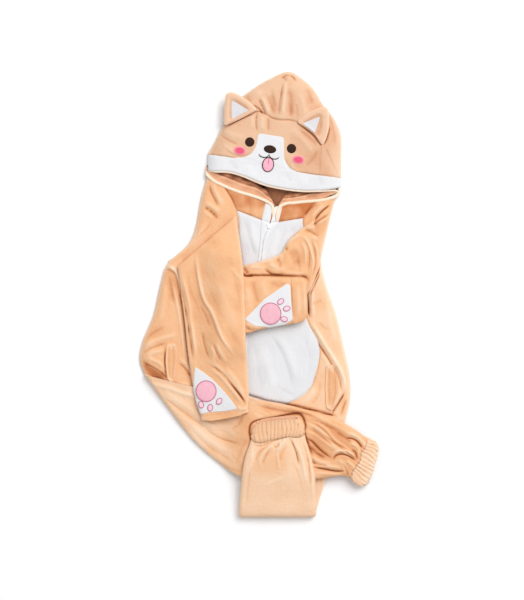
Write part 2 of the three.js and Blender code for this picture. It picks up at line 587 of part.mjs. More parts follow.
const DOUBLED = LAYER_ONE + SLEEVE_LOFT + 0.5;
const LEFT_SLEEVE = [
  { ax: 106, ay: 147, bx: 121, by: 78, z: LAYER_ONE, loft: 7, lean: 0 },
  { ax: 80, ay: 129, bx: 114, by: 45, z: LAYER_ONE, loft: SLEEVE_LOFT, lean: 0 },
  { ax: 58, ay: 109, bx: 98, by: 7, z: LAYER_ONE, loft: SLEEVE_LOFT, lean: 0 },
  { ax: 40, ay: 81, bx: 72, by: -21, z: LAYER_ONE, loft: SLEEVE_LOFT, lean: 0 },
  { ax: 4, ay: 67, bx: 20, by: -41, z: LAYER_ONE, loft: SLEEVE_LOFT, lean: 0 },
  { ax: -34, ay: 57, bx: -28, by: -55, z: LAYER_ONE, loft: SLEEVE_LOFT, lean: 0 },
  { ax: -52, ay: 49, bx: -48, by: -63, z: LAYER_ONE, loft: SLEEVE_LOFT, lean: 0 },
  { ax: -57, ay: 47, bx: -54, by: -68, z: LAYER_ONE + 4.55, loft: SLEEVE_LOFT, lean: 90 },
  { ax: -52, ay: 44, bx: -49, by: -72, z: DOUBLED, loft: SLEEVE_LOFT, lean: 180 },
  { ax: -30, ay: 35, bx: -30, by: -78, z: DOUBLED, loft: SLEEVE_LOFT, lean: 180 },
  { ax: 4, ay: 35, bx: 4, by: -69, z: DOUBLED, loft: SLEEVE_LOFT, lean: 180 },
  { ax: 62, ay: 33, bx: 64, by: -62, z: DOUBLED, loft: SLEEVE_LOFT, lean: 180 },
  { ax: 94, ay: 22, bx: 95, by: -51, z: DOUBLED, loft: SLEEVE_LOFT, lean: 180 },
];
const LEFT_SLEEVE_PLACES = [0, 1, 2, 3, 4, 5, 6, 6.5, 7, 7.5, 8, 9, 10, 11].map((row) => row / 12);
add('sleeve_left', tube(LEFT_SLEEVE, LEFT_SLEEVE_PLACES, null), ORANGE);
add('cuff_left', tube(LEFT_SLEEVE, steps(2, 11 / 12 + 0.0015, 1), null), ORANGE);

// ---- paw prints: a white corner patch, one large pad and three toes on each forearm ----
const PAWS = {
  right: {
    ground: 'sleeve_right',
    patch: [[-128, -144], [-129, -170], [-119, -215], [-112, -231], [-50, -226], [-82, -173]],
    pad: { x: -102, y: -192, r: 19 },
    toes: [{ x: -107, y: -221, turn: 15 }, { x: -91, y: -220, turn: -8 }, { x: -76, y: -210, turn: -35 }],
  },
  left: {
    ground: 'sleeve_left',
    patch: [[-25, -50], [10, -10], [52, 20], [59, -4], [60, -55], [20, -62]],
    pad: { x: 22, y: -38, r: 20 },
    toes: [{ x: 41, y: -12, turn: -50 }, { x: 52, y: -27, turn: -75 }, { x: 48, y: -49, turn: -105 }],
  },
};
for (const [side, { ground, patch, pad, toes }] of Object.entries(PAWS)) {
  add(`paw_patch_${side}`, lying(polygon(patch, 16), [made[ground]], TRIM, LIFT, 3), WHITE);
  const patchBody = [made[`paw_patch_${side}`]];
  add(`paw_pad_${side}`, lying(oval(pad.x, pad.y, pad.r, pad.r), patchBody, TRIM, LIFT, 2), PINK);
  toes.forEach((toe, i) => {
    add(`paw_toe_${side}_${i + 1}`, lying(oval(toe.x, toe.y, 4.6, 6.4, toe.turn, 10), patchBody, TRIM, LIFT, 1), PINK);
  });
}

// ---- pocket welts on the two sides of the body ----
const POCKETS = {
  right: { ground: 'front_right', corners: [[-188, -101], [-169, -101], [-171, -176], [-188, -170]] },
  left: { ground: 'front_left', corners: [[135, -143], [152, -145], [152, -231], [133, -226]] },
};
for (const [side, { ground, corners }] of Object.entries(POCKETS)) {
  add(`pocket_${side}`, lying(polygon(corners, 18), [made[ground]], PLUSH, LIFT, 2), ORANGE);
}

// ---- put the origin at the middle of the underside ----
const box = new THREE.Box3().setFromObject(group);
const middle = box.getCenter(new THREE.Vector3());
for (const mesh of group.children) {
  mesh.geometry.translate(-middle.x, -middle.y, -box.min.z);
}

export default group;
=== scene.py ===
"""A child's plush onesie with an animal hood, laid on its back and partly folded up.

The garment is built from cloth surfaces worked out on grids. Plan positions are in millimetres in
the pattern's own axes (X to the viewer's right, Y towards the hood) and are written to the meshes
in metres. Right and left in the names are the wearer's.
"""

from __future__ import annotations

import logging
import math
from dataclasses import dataclass, field
from enum import Enum
from functools import partial
from typing import Any, Callable, NamedTuple, Sequence

import bmesh
import bpy
import numpy as np
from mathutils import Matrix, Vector

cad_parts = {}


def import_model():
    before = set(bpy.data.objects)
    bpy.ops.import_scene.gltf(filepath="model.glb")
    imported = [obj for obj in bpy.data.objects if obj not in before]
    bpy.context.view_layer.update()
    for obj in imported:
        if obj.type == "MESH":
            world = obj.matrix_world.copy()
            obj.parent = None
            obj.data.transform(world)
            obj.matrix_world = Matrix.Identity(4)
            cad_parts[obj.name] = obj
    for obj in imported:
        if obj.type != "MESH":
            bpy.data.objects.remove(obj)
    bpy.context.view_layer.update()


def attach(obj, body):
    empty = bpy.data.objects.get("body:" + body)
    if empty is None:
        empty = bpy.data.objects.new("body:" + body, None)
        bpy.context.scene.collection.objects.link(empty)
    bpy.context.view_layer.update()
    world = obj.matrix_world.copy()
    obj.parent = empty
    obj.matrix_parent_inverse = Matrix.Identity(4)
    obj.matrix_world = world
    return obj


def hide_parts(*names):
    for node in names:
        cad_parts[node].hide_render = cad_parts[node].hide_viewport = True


Array = np.ndarray
Colour = tuple[float, float, float, float]
Piece = bpy.types.Object
Point = tuple[float, float]
Screen = tuple[int, int, int]

LOG = logging.getLogger("onesie")

MM = 1000.0  # millimetres in a metre
SHIFT = np.array([-1.0, -0.6])  # from the pattern's axes to the frame's, millimetres
PLUSH = 2.6  # thickness of plush cloth with its pile, millimetres
TRIM = 1.3  # thickness of the sewn-on pieces, millimetres
FLOOR = 0.05  # height of cloth that lies on the surface below, millimetres
LEAST_FILL = 0.305  # least share of its rectangle that a cut fills
ROWS_APART = 1.15  # rows of a grid lie this much wider apart than its columns
PALEST = 9.0  # height of a ridge whose painted highlight makes its tone a whole step paler, millimetres
DEEPEST = 7.0  # depth of a trough whose painted shade makes its tone a whole step deeper
SHADOW = (1.6, 4.8)  # depths between which a trough takes the shadow colour
SIDES = (("right", -1.0), ("left", 1.0))  # the wearer's sides, and where they lie along X


# ---- numbers


def unit(count: int) -> Array:
    """Evenly spaced numbers from 0 to 1."""
    return np.linspace(0, 1, count)


def smooth(t: Array) -> Array:
    """Smooth step: 0 below 0, 1 above 1, and 3t^2 - 2t^3 between."""
    t = np.clip(t, 0, 1)
    return t * t * (3 - 2 * t)


def ramp(value: Array, start: float, end: float) -> Array:
    """Smooth ramp from 0 at start to 1 at end."""
    return smooth((np.asarray(value, float) - start) / (end - start))


def bell(value: Array, width: float) -> Array:
    """Bell curve: exp(-(value / width)^2)."""
    return np.exp(-((value / width) ** 2))


def stacked(*parts: Any) -> Array:
    """Points made of their coordinates."""
    return np.stack(np.broadcast_arrays(*parts), -1)


def turned(x: Array, y: Array, degrees: float) -> tuple[Array, Array]:
    """A plan position turned about the origin."""
    c, s = math.cos(math.radians(degrees)), math.sin(math.radians(degrees))
    return x * c - y * s, x * s + y * c


def spline(rows: Any, t: Array) -> Array:
    """Smooth curve through equally spaced rows.

    The cubic through each pair of rows takes its slopes from their neighbours (Catmull-Rom).

    Args:
        rows: Values, one row for each knot.
        t: Places along the table, 0 at the first row and 1 at the last.

    Returns:
        Interpolated rows, one for each t.
    """
    rows = np.asarray(rows, float)
    place = np.clip(t, 0, 1) * (len(rows) - 1)
    i = np.minimum(place.astype(int), len(rows) - 2)
    f = (place - i)[..., None] if rows.ndim > 1 else place - i
    a, b = rows[np.maximum(i - 1, 0)], rows[i]
    c, d = rows[i + 1], rows[np.minimum(i + 2, len(rows) - 1)]
    first, last = (c - a) / 2, (d - b) / 2
    return b + f * (first + f * (3 * (c - b) - 2 * first - last + f * (2 * (b - c) + first + last)))


def through(points: Sequence[Point], x: Array, fine: int = 120) -> Array:
    """Height at x of a smooth line through points, worked out at a fine row of places."""
    line = spline(points, unit(fine))
    return np.interp(x, line[:, 0], line[:, 1])


def rows_of(kind: Callable[..., Any], *rows: tuple[float, ...]) -> tuple[Any, ...]:
    """A table: each row of numbers made into a row of that kind."""
    return tuple(kind(*row) for row in rows)


def column(rows: Sequence[Any], name: str, t: Array | float) -> Array:
    """Smooth value of one column of a table at t from 0 (first row) to 1 (last row)."""
    return spline([getattr(row, name) for row in rows], np.asarray(t, float))


def ripple(x: Array, y: Array, size: float, seed: int, waves: int = 14) -> Array:
    """Soft uneven swell: a sum of cosines of random direction, length about size and phase.

    Args:
        x, y: Plan positions, millimetres.
        size: Typical distance between swells, millimetres.
        seed: Seed of the random directions.
        waves: Number of cosines.

    Returns:
        Heights of about unit size.
    """
    rng = np.random.default_rng(seed)
    turn = rng.uniform(0, 2 * math.pi, waves)
    pitch = 2 * math.pi / (size * rng.uniform(0.7, 1.6, waves))
    phase = rng.uniform(0, 2 * math.pi, waves)
    total = np.zeros(np.broadcast(x, y).shape)
    for k in range(waves):
        total += np.cos(pitch[k] * (x * math.cos(turn[k]) + y * math.sin(turn[k])) + phase[k])
    return total / math.sqrt(waves / 2) / 1.6


# ---- lines in plan


def nearest(path: Array, x: Array, y: Array) -> tuple[Array, Array, Array]:
    """Nearest place on a line in plan.

    For each segment the point is dropped onto it and the closest of all segments is kept.

    Args:
        path: Points of the line.
        x, y: Plan positions, millimetres.

    Returns:
        Distance, share of the line's length passed, and side (1 left of the line, -1 right).
    """
    step = np.diff(path, axis=0)
    span = np.maximum(np.hypot(step[:, 0], step[:, 1]), 1e-6)
    start = np.concatenate([[0], np.cumsum(span)[:-1]])
    best, share, side = np.full(x.shape, 1e9), np.zeros(x.shape), np.zeros(x.shape)
    for k in range(len(step)):
        dx, dy = x - path[k, 0], y - path[k, 1]
        t = np.clip((dx * step[k, 0] + dy * step[k, 1]) / span[k] ** 2, 0, 1)
        away = np.hypot(dx - t * step[k, 0], dy - t * step[k, 1])
        near = away < best
        best = np.where(near, away, best)
        share = np.where(near, (start[k] + t * span[k]) / span.sum(), share)
        side = np.where(near, np.sign(step[k, 0] * dy - step[k, 1] * dx), side)
    return best, share, side


def within(corners: Array, x: Array, y: Array) -> Array:
    """Distance inside an outline: to its nearest side, signed by counting crossings.

    Args:
        corners: Points of the outline.
        x, y: Plan positions, millimetres.

    Returns:
        Distances, negative outside.
    """
    ring = np.concatenate([corners, corners[:1]])
    inside = np.zeros(x.shape, bool)
    for (ax, ay), (bx, by) in zip(ring[:-1], ring[1:]):
        at = ax + (y - ay) * (bx - ax) / (by - ay if by != ay else 1e-9)
        inside ^= ((ay > y) != (by > y)) & (x < at)
    away = nearest(ring, x, y)[0]
    return np.where(inside, away, -away)


def even(path: Any, pitch: float, closed: bool = False) -> Array:
    """Spaces a line's points evenly: places along its length, read between its own points.

    Args:
        path: Points of the line.
        pitch: Distance between points, about.
        closed: Whether its end meets its start.

    Returns:
        The new points.
    """
    path = np.asarray(path, float)
    path = np.concatenate([path, path[:1]]) if closed else path
    span = np.linalg.norm(np.diff(path, axis=0), axis=1)
    path = path[np.concatenate([[True], span > 1e-9])]
    reach = np.concatenate([[0], np.cumsum(span[span > 1e-9])])
    count = max(8, int(round(reach[-1] / pitch)))
    at = np.linspace(0, reach[-1], count + 1)[: count if closed else count + 1]
    return stacked(*(np.interp(at, reach, values) for values in path.T))


def rounded(corners: Sequence[Point], radius: float, pitch: float = 2.0) -> Array:
    """Closed outline with rounded corners: a quadratic arc at each corner, then even spacing.

    Args:
        corners: Corners in order.
        radius: Distance before and after a corner where its arc starts and ends.
        pitch: Spacing of the points returned.

    Returns:
        Points along the outline.
    """
    p = np.asarray(corners, float)
    ends = []
    for way in (1, -1):
        side = np.roll(p, way, 0) - p
        length = np.hypot(*side.T)
        ends.append(p + side / length[:, None] * np.minimum(radius, 0.48 * length)[:, None])
    first, last = ends
    t = unit(7)[None, :, None]
    arcs = first[:, None] * (1 - t) ** 2 + 2 * p[:, None] * t * (1 - t) + last[:, None] * t**2
    return even(arcs.reshape(-1, 2), pitch, True)


def oval(middle: Any, rx: float, ry: float, turn: float = 0.0, pitch: float = 1.6) -> Array:
    """Outline of an ellipse: cosine and sine of an angle times its radii, then turned.

    Args:
        middle: Its middle in plan.
        rx, ry: Its radii, millimetres.
        turn: Degrees that it is turned by.
        pitch: Distance between points, about.

    Returns:
        Points of the outline.
    """
    count = max(18, int(2 * math.pi * max(rx, ry) / pitch))
    t = np.linspace(0, 2 * math.pi, count, endpoint=False)
    return np.asarray(middle) + stacked(*turned(rx * np.cos(t), ry * np.sin(t), turn))


def rings(outline: Array, share: Array, middle: Array) -> tuple[Array, Array]:
    """Plan positions of rings about a middle, each at a share of the way to the outline."""
    p = middle + share[:, None, None] * (outline - middle)
    return p[..., 0], p[..., 1]


# ---- folds in the cloth


class Form(Enum):
    """Cross-section of a fold."""

    SOFT = "soft"
    LIP = "lip"
    HOLLOW = "hollow"


@dataclass(frozen=True)
class Fold:
    """A fold along a line in plan: a ridge where height is above 0, a trough where it is below.

    A lip is high on the left of its line, seen along it, and low on the right.
    """

    REACH = 3.6  # widths from the line beyond which nothing of the fold is left

    path: Array
    width: float
    height: float
    form: Form = Form.SOFT
    blunt: float = 0.25  # share of the length over which each end fades

    def at(self, x: Array, y: Array) -> Array:
        """Height of the fold across its line, fading out towards both ends.

        A ridge is a bell, exp(-d^2). A trough is sharp at its bottom, exp(-1.35 d^1.1). A hollow
        is flat at its bottom, exp(-d^4). A lip steps from low on its right to high on its left,
        with a crease at the step.

        Args:
            x, y: Plan positions, millimetres.

        Returns:
            Heights in millimetres.
        """
        line = spline(self.path, unit(5 * (len(self.path) - 1) + 1))
        reach = self.REACH * self.width
        total = np.zeros(x.shape)
        low, high = line.min(0) - reach, line.max(0) + reach
        near = (x > low[0]) & (x < high[0]) & (y > low[1]) & (y < high[1])
        if not near.any():
            return total
        away, share, side = nearest(line, x[near], y[near])
        fade = smooth(share / self.blunt) * smooth((1 - share) / self.blunt)
        across = away / self.width
        section = 0.8 * bell(across, 1.2) if self.height > 0 else np.exp(-1.35 * across**1.1)
        if self.form is Form.HOLLOW:
            section = np.exp(-(across**4))
        if self.form is Form.LIP:
            step = 0.5 * side * (1 - np.exp(-2.2 * across)) * np.exp(-0.35 * across**2)
            section = step + 0.35 * section - 0.35 * np.exp(-((across + 0.25 * side) ** 2) * 6)
        total[near] = self.height * section * fade
        return total


def fold(
    width: float, height: float, *plan: float, form: Form = Form.SOFT, blunt: float = 0.25
) -> Fold:
    """A fold through points given as x, y, x, y and so on."""
    return Fold(np.reshape(plan, (-1, 2)), width, height, form, blunt)


lip = partial(fold, form=Form.LIP)  # cloth lying over on itself, high on the left of its line
hollow = partial(fold, form=Form.HOLLOW)  # a dent with a flat bottom


@dataclass(frozen=True)
class Relief:
    """All folds of one layer of cloth, with a soft uneven swell and fine long wrinkles under them.

    A fold given as plain numbers is a soft one: its width, its height, then x and y of each point.
    """

    SPACING = 15.0  # millimetres between wrinkles
    LENGTH = 4.5  # how many times longer they are
    PATCH = 55.0  # size of the places that have them

    folds: Sequence[Fold | tuple[float, ...]] = ()
    swell: float = 0.5  # height of the swell, millimetres
    size: float = 60.0  # its spacing
    seed: int = 1
    grain: float = 0.45  # height of the wrinkles
    way: float = 90.0  # the way they run, degrees

    def at(self, x: Array, y: Array) -> Array:
        """Height of folds, swell and wrinkles together.

        The wrinkles are a swell stretched along one way, folded at zero so that its ridges are
        soft and its troughs sharp, and present only in places.

        Args:
            x, y: Plan positions, millimetres.

        Returns:
            Heights in millimetres.
        """
        total = self.swell * ripple(x, y, self.size, self.seed)
        along, across = turned(x, y, -self.way)
        across = across + 5 * ripple(x, y, 70, self.seed + 60)
        wave = np.abs(ripple(along / self.LENGTH, across, self.SPACING, self.seed + 70, 10))
        patchy = ramp(ripple(x, y, self.PATCH, self.seed + 80), -0.5, 0.7)
        total += self.grain * (2.2 * wave - 0.9) * patchy
        for row in self.folds:
            total += (row if isinstance(row, Fold) else fold(*row)).at(x, y)
        return total


def shade(folds: Array, base: float | Array = 0.5) -> Array:
    """Tone with painted light: a painted highlight on the ridges of folds, painted shade in their
    troughs.
    """
    return base + np.where(folds > 0, folds / PALEST, folds / DEEPEST)


def crease(folds: Array) -> Array:
    """Share of shadow colour: only in the deepest troughs."""
    return 0.85 * ramp(-folds, *SHADOW)


# ---- meshes


@dataclass
class Surface:
    """A grid of points in millimetres, with values carried to its vertices."""

    points: Array
    closed: bool = False  # whether its last column meets its first
    disc: bool = False  # whether its first row is one point in the middle
    down: bool = False  # whether it faces down
    tone: Array | float = 0.5  # from deep, 0, to pale, 1: the cloth's own tone with painted shade and painted highlight
    mark: Array | float = 0.0  # share of the finish's second colour: painted shadow on plush, the rim's colour on stitched pieces

    def cut(self) -> tuple[float, float, float]:
        """Size of the cut: the longest row and column of the grid, and the area of all its cells.

        A disc's width and length are those of its outline in plan.

        Returns:
            Width and length in metres, and area in square metres.
        """
        p = self.points
        p = np.concatenate([p, p[:, :1]], axis=1) if self.closed else p
        width = np.linalg.norm(np.diff(p, axis=1), axis=2).sum(1).max()
        length = np.linalg.norm(np.diff(p, axis=0), axis=2).sum(0).max()
        if self.disc:
            width, length = np.ptp(self.points[-1, :, :2], axis=0)
        cells = np.cross(p[1:, 1:] - p[:-1, :-1], p[1:, :-1] - p[:-1, 1:])
        area = np.linalg.norm(cells, axis=2).sum() / 2
        return float(width) / MM, float(length) / MM, float(area) / MM**2


def faces_of(rows: int, cols: int, closed: bool) -> Array:
    """Faces of a grid: the numbers of their four vertices, counted row by row.

    Args:
        rows, cols: Size of the grid.
        closed: Whether its last column meets its first.

    Returns:
        Four numbers a face.
    """
    first, j = np.ogrid[0 : (rows - 1) * cols : cols, 0 : cols if closed else cols - 1]
    k, below = (j + 1) % cols, first + cols
    return stacked(first + j, below + j, below + k, first + k).reshape(-1, 4)


def facing_out(p: Array, quads: Array, surface: Surface) -> Array:
    """Turns the faces of a grid outwards.

    A tube's faces look away from the middle of their own ring; any other grid looks up or down.

    Args:
        p: Points of the grid.
        quads: Its faces.
        surface: What kind of grid it is.

    Returns:
        The faces, reversed where they looked the wrong way.
    """
    flat = p.reshape(-1, 3)
    normal = np.cross(flat[quads[:, 2]] - flat[quads[:, 0]], flat[quads[:, 3]] - flat[quads[:, 1]])
    if surface.closed and not surface.disc:
        middle = p.mean(axis=1)[quads[:, 0] // p.shape[1]]
        wrong = ((flat[quads].mean(1) - middle) * normal).sum() < 0
    else:
        wrong = (normal[:, 2].sum() < 0) != surface.down
    return quads[:, ::-1] if wrong else quads


def write_mesh(name: str, flat: Array, quads: Array) -> Piece:
    """Makes a smooth-shaded mesh object that rides on the root body, its free edges marked sharp.

    Args:
        name: Name of the object.
        flat: Its points, millimetres.
        quads: Its faces.

    Returns:
        The new object.
    """
    mesh = bpy.data.meshes.new(name)
    mesh.vertices.add(len(flat))
    mesh.vertices.foreach_set("co", (flat / MM).astype(np.float32).ravel())
    mesh.loops.add(quads.size)
    mesh.loops.foreach_set("vertex_index", quads.astype(np.int32).ravel())
    mesh.polygons.add(len(quads))
    mesh.polygons.foreach_set("loop_start", np.arange(0, quads.size, 4, dtype=np.int32))
    mesh.update(calc_edges=True)
    mesh.polygons.foreach_set("use_smooth", np.ones(len(mesh.polygons), bool))
    edges = np.empty(quads.size, np.int32)
    mesh.loops.foreach_get("edge_index", edges)
    free = np.bincount(edges, minlength=len(mesh.edges)) == 1
    mesh.attributes.new("sharp_edge", "BOOLEAN", "EDGE").data.foreach_set("value", free)
    obj = bpy.data.objects.new(name, mesh)
    bpy.context.scene.collection.objects.link(obj)
    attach(obj, "root")
    return obj


def to_mesh(name: str, surface: Surface) -> Piece:
    """Makes a mesh object of a surface, with its vertices' tone, painted light included, and their
    share of the second colour, which is painted shadow on plush and the rim on stitched pieces.

    Args:
        name: Name of the object.
        surface: Grid to write.

    Returns:
        The new object.
    """
    p = surface.points.copy()
    p[..., :2] += SHIFT
    quads = facing_out(p, faces_of(*p.shape[:2], surface.closed), surface)
    obj = write_mesh(name, p.reshape(-1, 3), quads)
    for label in ("tone", "mark"):
        layer = obj.data.attributes.new(label, "FLOAT", "POINT")
        values = np.broadcast_to(getattr(surface, label), p.shape[:2])
        layer.data.foreach_set("value", np.ascontiguousarray(values, np.float32).ravel())
    if surface.closed:
        weld(obj)
    return obj


def weld(obj: Piece) -> None:
    """Joins the points that meet at the middle of a disc or the end of a knob.

    Args:
        obj: Object to mend.
    """
    work = bmesh.new()
    work.from_mesh(obj.data)
    bmesh.ops.remove_doubles(work, verts=work.verts, dist=2e-6)
    bmesh.ops.dissolve_degenerate(work, edges=work.edges, dist=1e-7)
    work.to_mesh(obj.data)
    work.free()


def thicken(obj: Piece, thickness: float, lined: bool) -> None:
    """Gives cloth its thickness inwards.

    Args:
        obj: The cloth.
        thickness: Thickness, millimetres.
        lined: Whether its inner side takes the second material.
    """
    solid = obj.modifiers.new("thickness", "SOLIDIFY")
    solid.thickness = thickness / MM
    solid.offset = -1
    solid.use_even_offset = False
    solid.use_rim = True
    solid.material_offset = int(lined)


class Ground:
    """Heights of the surfaces that small pieces lie on, on a square grid of cells."""

    CELL = 1.5  # side of a cell, millimetres
    MARGIN = 6.0  # room around the surfaces
    NOTHING = -1000.0  # height of an empty cell

    def __init__(self, *surfaces: Surface) -> None:
        """Takes the highest point of all surfaces in each cell and fills empty cells from beside.

        Args:
            surfaces: Surfaces that can be lain on.
        """
        every = np.concatenate([self._finer(s.points, s.closed).reshape(-1, 3) for s in surfaces])
        self.low = every[:, :2].min(0) - self.MARGIN
        shape = np.ceil((every[:, :2].max(0) + self.MARGIN - self.low) / self.CELL).astype(int) + 2
        self.height = np.full(shape, self.NOTHING)
        cell = ((every[:, :2] - self.low) / self.CELL).round().astype(int)
        np.maximum.at(self.height, (cell[:, 0], cell[:, 1]), every[:, 2])
        for _ in range(5):
            around = np.stack([np.roll(self.height, s, a) for s in (-1, 1) for a in (0, 1)])
            self.height = np.where(self.height < 0.9 * self.NOTHING, around.max(0), self.height)

    @staticmethod
    def _finer(p: Array, closed: bool) -> Array:
        """Adds three points between each pair of neighbours of a grid, down it and then across.

        Args:
            p: Points of the grid.
            closed: Whether its last column meets its first.

        Returns:
            Points of the finer grid, turned on its side.
        """
        p = np.concatenate([p, p[:, :1]], axis=1) if closed else p
        t = np.linspace(0, 1, 4, endpoint=False)[:, None, None]
        for _ in range(2):
            between = (p[:-1, None] * (1 - t) + p[1:, None] * t).reshape(-1, *p.shape[1:])
            p = np.concatenate([between, p[-1:]]).swapaxes(0, 1)
        return p

    def at(self, x: Array, y: Array) -> Array:
        """Height of the ground, read between the four cells around each place.

        Args:
            x, y: Plan positions, millimetres.

        Returns:
            Heights in millimetres.
        """
        u = np.clip((x - self.low[0]) / self.CELL, 0, self.height.shape[0] - 1.001)
        v = np.clip((y - self.low[1]) / self.CELL, 0, self.height.shape[1] - 1.001)
        i, j = u.astype(int), v.astype(int)
        f, g, h = u - i, v - j, self.height
        near = h[i, j] * (1 - f) + h[i + 1, j] * f
        far = h[i, j + 1] * (1 - f) + h[i + 1, j + 1] * f
        return near * (1 - g) + far * g


# ---- shader nodes


class Value:
    """A number socket of a node tree that can be used in Python expressions."""

    def __init__(self, nodes: Nodes, socket: Any) -> None:
        """Wraps a socket of the tree that nodes builds."""
        self.nodes = nodes
        self.socket = socket

    def _with(self, operation: str, first: Any, second: Any) -> Value:
        """A Math node on two values or numbers."""
        return self.nodes.node("Math", {0: first, 1: second}, operation=operation)

    def __add__(self, other: Any) -> Value:
        """Sum."""
        return self._with("ADD", self, other)

    def __sub__(self, other: Any) -> Value:
        """Difference."""
        return self._with("SUBTRACT", self, other)

    def __rsub__(self, other: Any) -> Value:
        """Difference from a number on the left."""
        return self._with("SUBTRACT", other, self)

    def __mul__(self, other: Any) -> Value:
        """Product."""
        return self._with("MULTIPLY", self, other)

    __radd__ = __add__
    __rmul__ = __mul__

    def clipped(self) -> Value:
        """The value kept between 0 and 1."""
        return self.nodes.node("Clamp", {"Value": self})


class Nodes:
    """Builds one material's node tree."""

    def __init__(self, name: str) -> None:
        """Starts an empty material.

        Args:
            name: Its name.
        """
        self.material = bpy.data.materials.new(name)
        self.material.use_nodes = True
        self.tree = self.material.node_tree
        self.tree.nodes.clear()

    def node(self, kind: str, inputs: dict[Any, Any], output: Any = 0, **settings: Any) -> Value:
        """Adds a node.

        Args:
            kind: Type of shader node.
            inputs: Values or links of its sockets, by name or number.
            output: Name or number of the socket to return.
            **settings: Properties of the node, set before its sockets.

        Returns:
            The wrapped output socket.
        """
        made = self.tree.nodes.new(f"ShaderNode{kind}")
        for key, value in settings.items():
            setattr(made, key, value)
        for key, value in inputs.items():
            if isinstance(value, Value):
                self.tree.links.new(value.socket, made.inputs[key])
            else:
                made.inputs[key].default_value = value
        return Value(self, made.outputs[output] if len(made.outputs) else None)

    def place(self) -> Value:
        """Position in the garment, metres."""
        return self.node("TexCoord", {}, "Object")

    def carried(self, name: str) -> Value:
        """A value carried by the vertices."""
        return self.node("Attribute", {}, "Fac", attribute_name=name)

    def noise(
        self, where: Value, scale: float, detail: float = 3.0, roughness: float = 0.6
    ) -> Value:
        """Even noise of about 0.5, in cells of 1 / scale metres."""
        sockets = {"Vector": where, "Scale": scale, "Detail": detail, "Roughness": roughness}
        return self.node("TexNoise", sockets, "Fac")

    def blend(self, share: Any, first: Any, second: Any) -> Value:
        """Mix of two colours: sockets 0, 6 and 7 of the node are its share and its two colours."""
        return self.node("Mix", {0: share, 6: first, 7: second}, 2, data_type="RGBA")

    def bump(self, strength: float, depth: float, height: Value) -> Value:
        """Normal of a surface roughened by a height, depth metres deep."""
        return self.node("Bump", {"Strength": strength, "Distance": depth, "Height": height})

    def shaded(self, sockets: dict[str, Any]) -> bpy.types.Material:
        """Ends the tree in a shader with these sockets and gives the material."""
        self.node("OutputMaterial", {"Surface": self.node("BsdfPrincipled", sockets)})
        return self.material


def colour(screen: Screen, light: float = 1.0) -> Colour:
    """Linear colour of a screen colour, by the usual curve of screens.

    Args:
        screen: Red, green and blue from 0 to 255.
        light: Factor that dims it.

    Returns:
        Red, green, blue and 1.
    """
    part = [c / 255 for c in screen]
    r, g, b = [light * (c / 12.92 if c <= 0.04045 else ((c + 0.055) / 1.055) ** 2.4) for c in part]
    return (r, g, b, 1)


class Finish(NamedTuple):
    """A material and the name of a slot in the record."""

    material: bpy.types.Material
    slot: str


@dataclass(frozen=True)
class Recipe:
    """A finish before it is made: each kind builds its own material."""

    name: str

    def make(self) -> bpy.types.Material:
        """Builds the material."""
        raise NotImplementedError

    def into(self, slot: str = "") -> Finish:
        """The finish for a slot of the record, by default the one of its own name."""
        return Finish(self.make(), slot or self.name)


@dataclass(frozen=True)
class Plush(Recipe):
    """Short soft pile, clumped. Its colour runs from deep to pale with the vertices' tone, which
    carries painted shade in the folds and a painted highlight on the ridges, and it takes a painted
    shadow colour in the deepest creases.
    """

    deep: Screen
    middle: Screen
    pale: Screen
    # painted shadow colour of the deepest creases and seam grooves
    crease_shadow: Screen = (114, 62, 34)
    pile: float = 0.8
    patches: float = 0.2

    def make(self) -> bpy.types.Material:
        """Builds the material.

        Returns:
            A material whose colour follows the vertices' tone and mark, with a clumped pile.
        """
        n = Nodes(self.name)
        deep, middle, pale, crease_shadow = map(colour, (self.deep, self.middle, self.pale, self.crease_shadow))
        where = n.place()
        tone = n.carried("tone")
        brushed = n.noise(where, 32, 3, 0.55) - 0.5
        clumps = n.noise(where, 170) - 0.5
        nap = n.noise(where, 620, 2) - 0.5
        level = tone + brushed * self.patches
        level = level + clumps * (0.55 * self.patches) + nap * (0.4 * self.patches)
        down = (level * 2).clipped()
        high = (level * 2 - 1).clipped()
        base = n.blend(high, n.blend(down, deep, middle), pale)
        # painted shadow: blends in the crease shadow colour where the vertices carry it
        base = n.blend(n.carried("mark").clipped(), base, crease_shadow)
        height = clumps * 1.1 + nap * 0.8 + brushed * 0.5
        return n.shaded({
            "Base Color": base,
            "Roughness": 0.95,
            "Normal": n.bump(self.pile, 0.0011, height),
            "Sheen Weight": 0.8,
            "Sheen Roughness": 0.35,
            "Sheen Tint": pale,
            "Specular IOR Level": 0.12,
        })


@dataclass(frozen=True)
class Stitched(Recipe):
    """Smooth applique cloth or dense stitching, with a stitched rim in a darker thread."""

    face: Screen
    rim: Screen
    gloss: float = 0.55

    def make(self) -> bpy.types.Material:
        """Builds the material.

        Returns:
            A material with fine parallel threads, darker where the vertices are marked.
        """
        n = Nodes(self.name)
        where = n.place()
        sockets = {"Vector": where, "Scale": 900, "Distortion": 2, "Detail": 1}
        threads = n.node("TexWave", sockets, "Fac", bands_direction="DIAGONAL")
        uneven = n.noise(where, 140)
        share = ((threads - 0.5) * 0.25 + (uneven - 0.5) * 0.8 + 0.25).clipped()
        base = n.blend(share, colour(self.face), colour(self.face, 0.72))
        base = n.blend(n.carried("mark").clipped(), base, colour(self.rim))
        bump = n.bump(0.35, 0.0004, threads + uneven)
        return n.shaded({
            "Base Color": base,
            "Roughness": self.gloss,
            "Normal": bump,
            "Specular IOR Level": 0.3,
        })


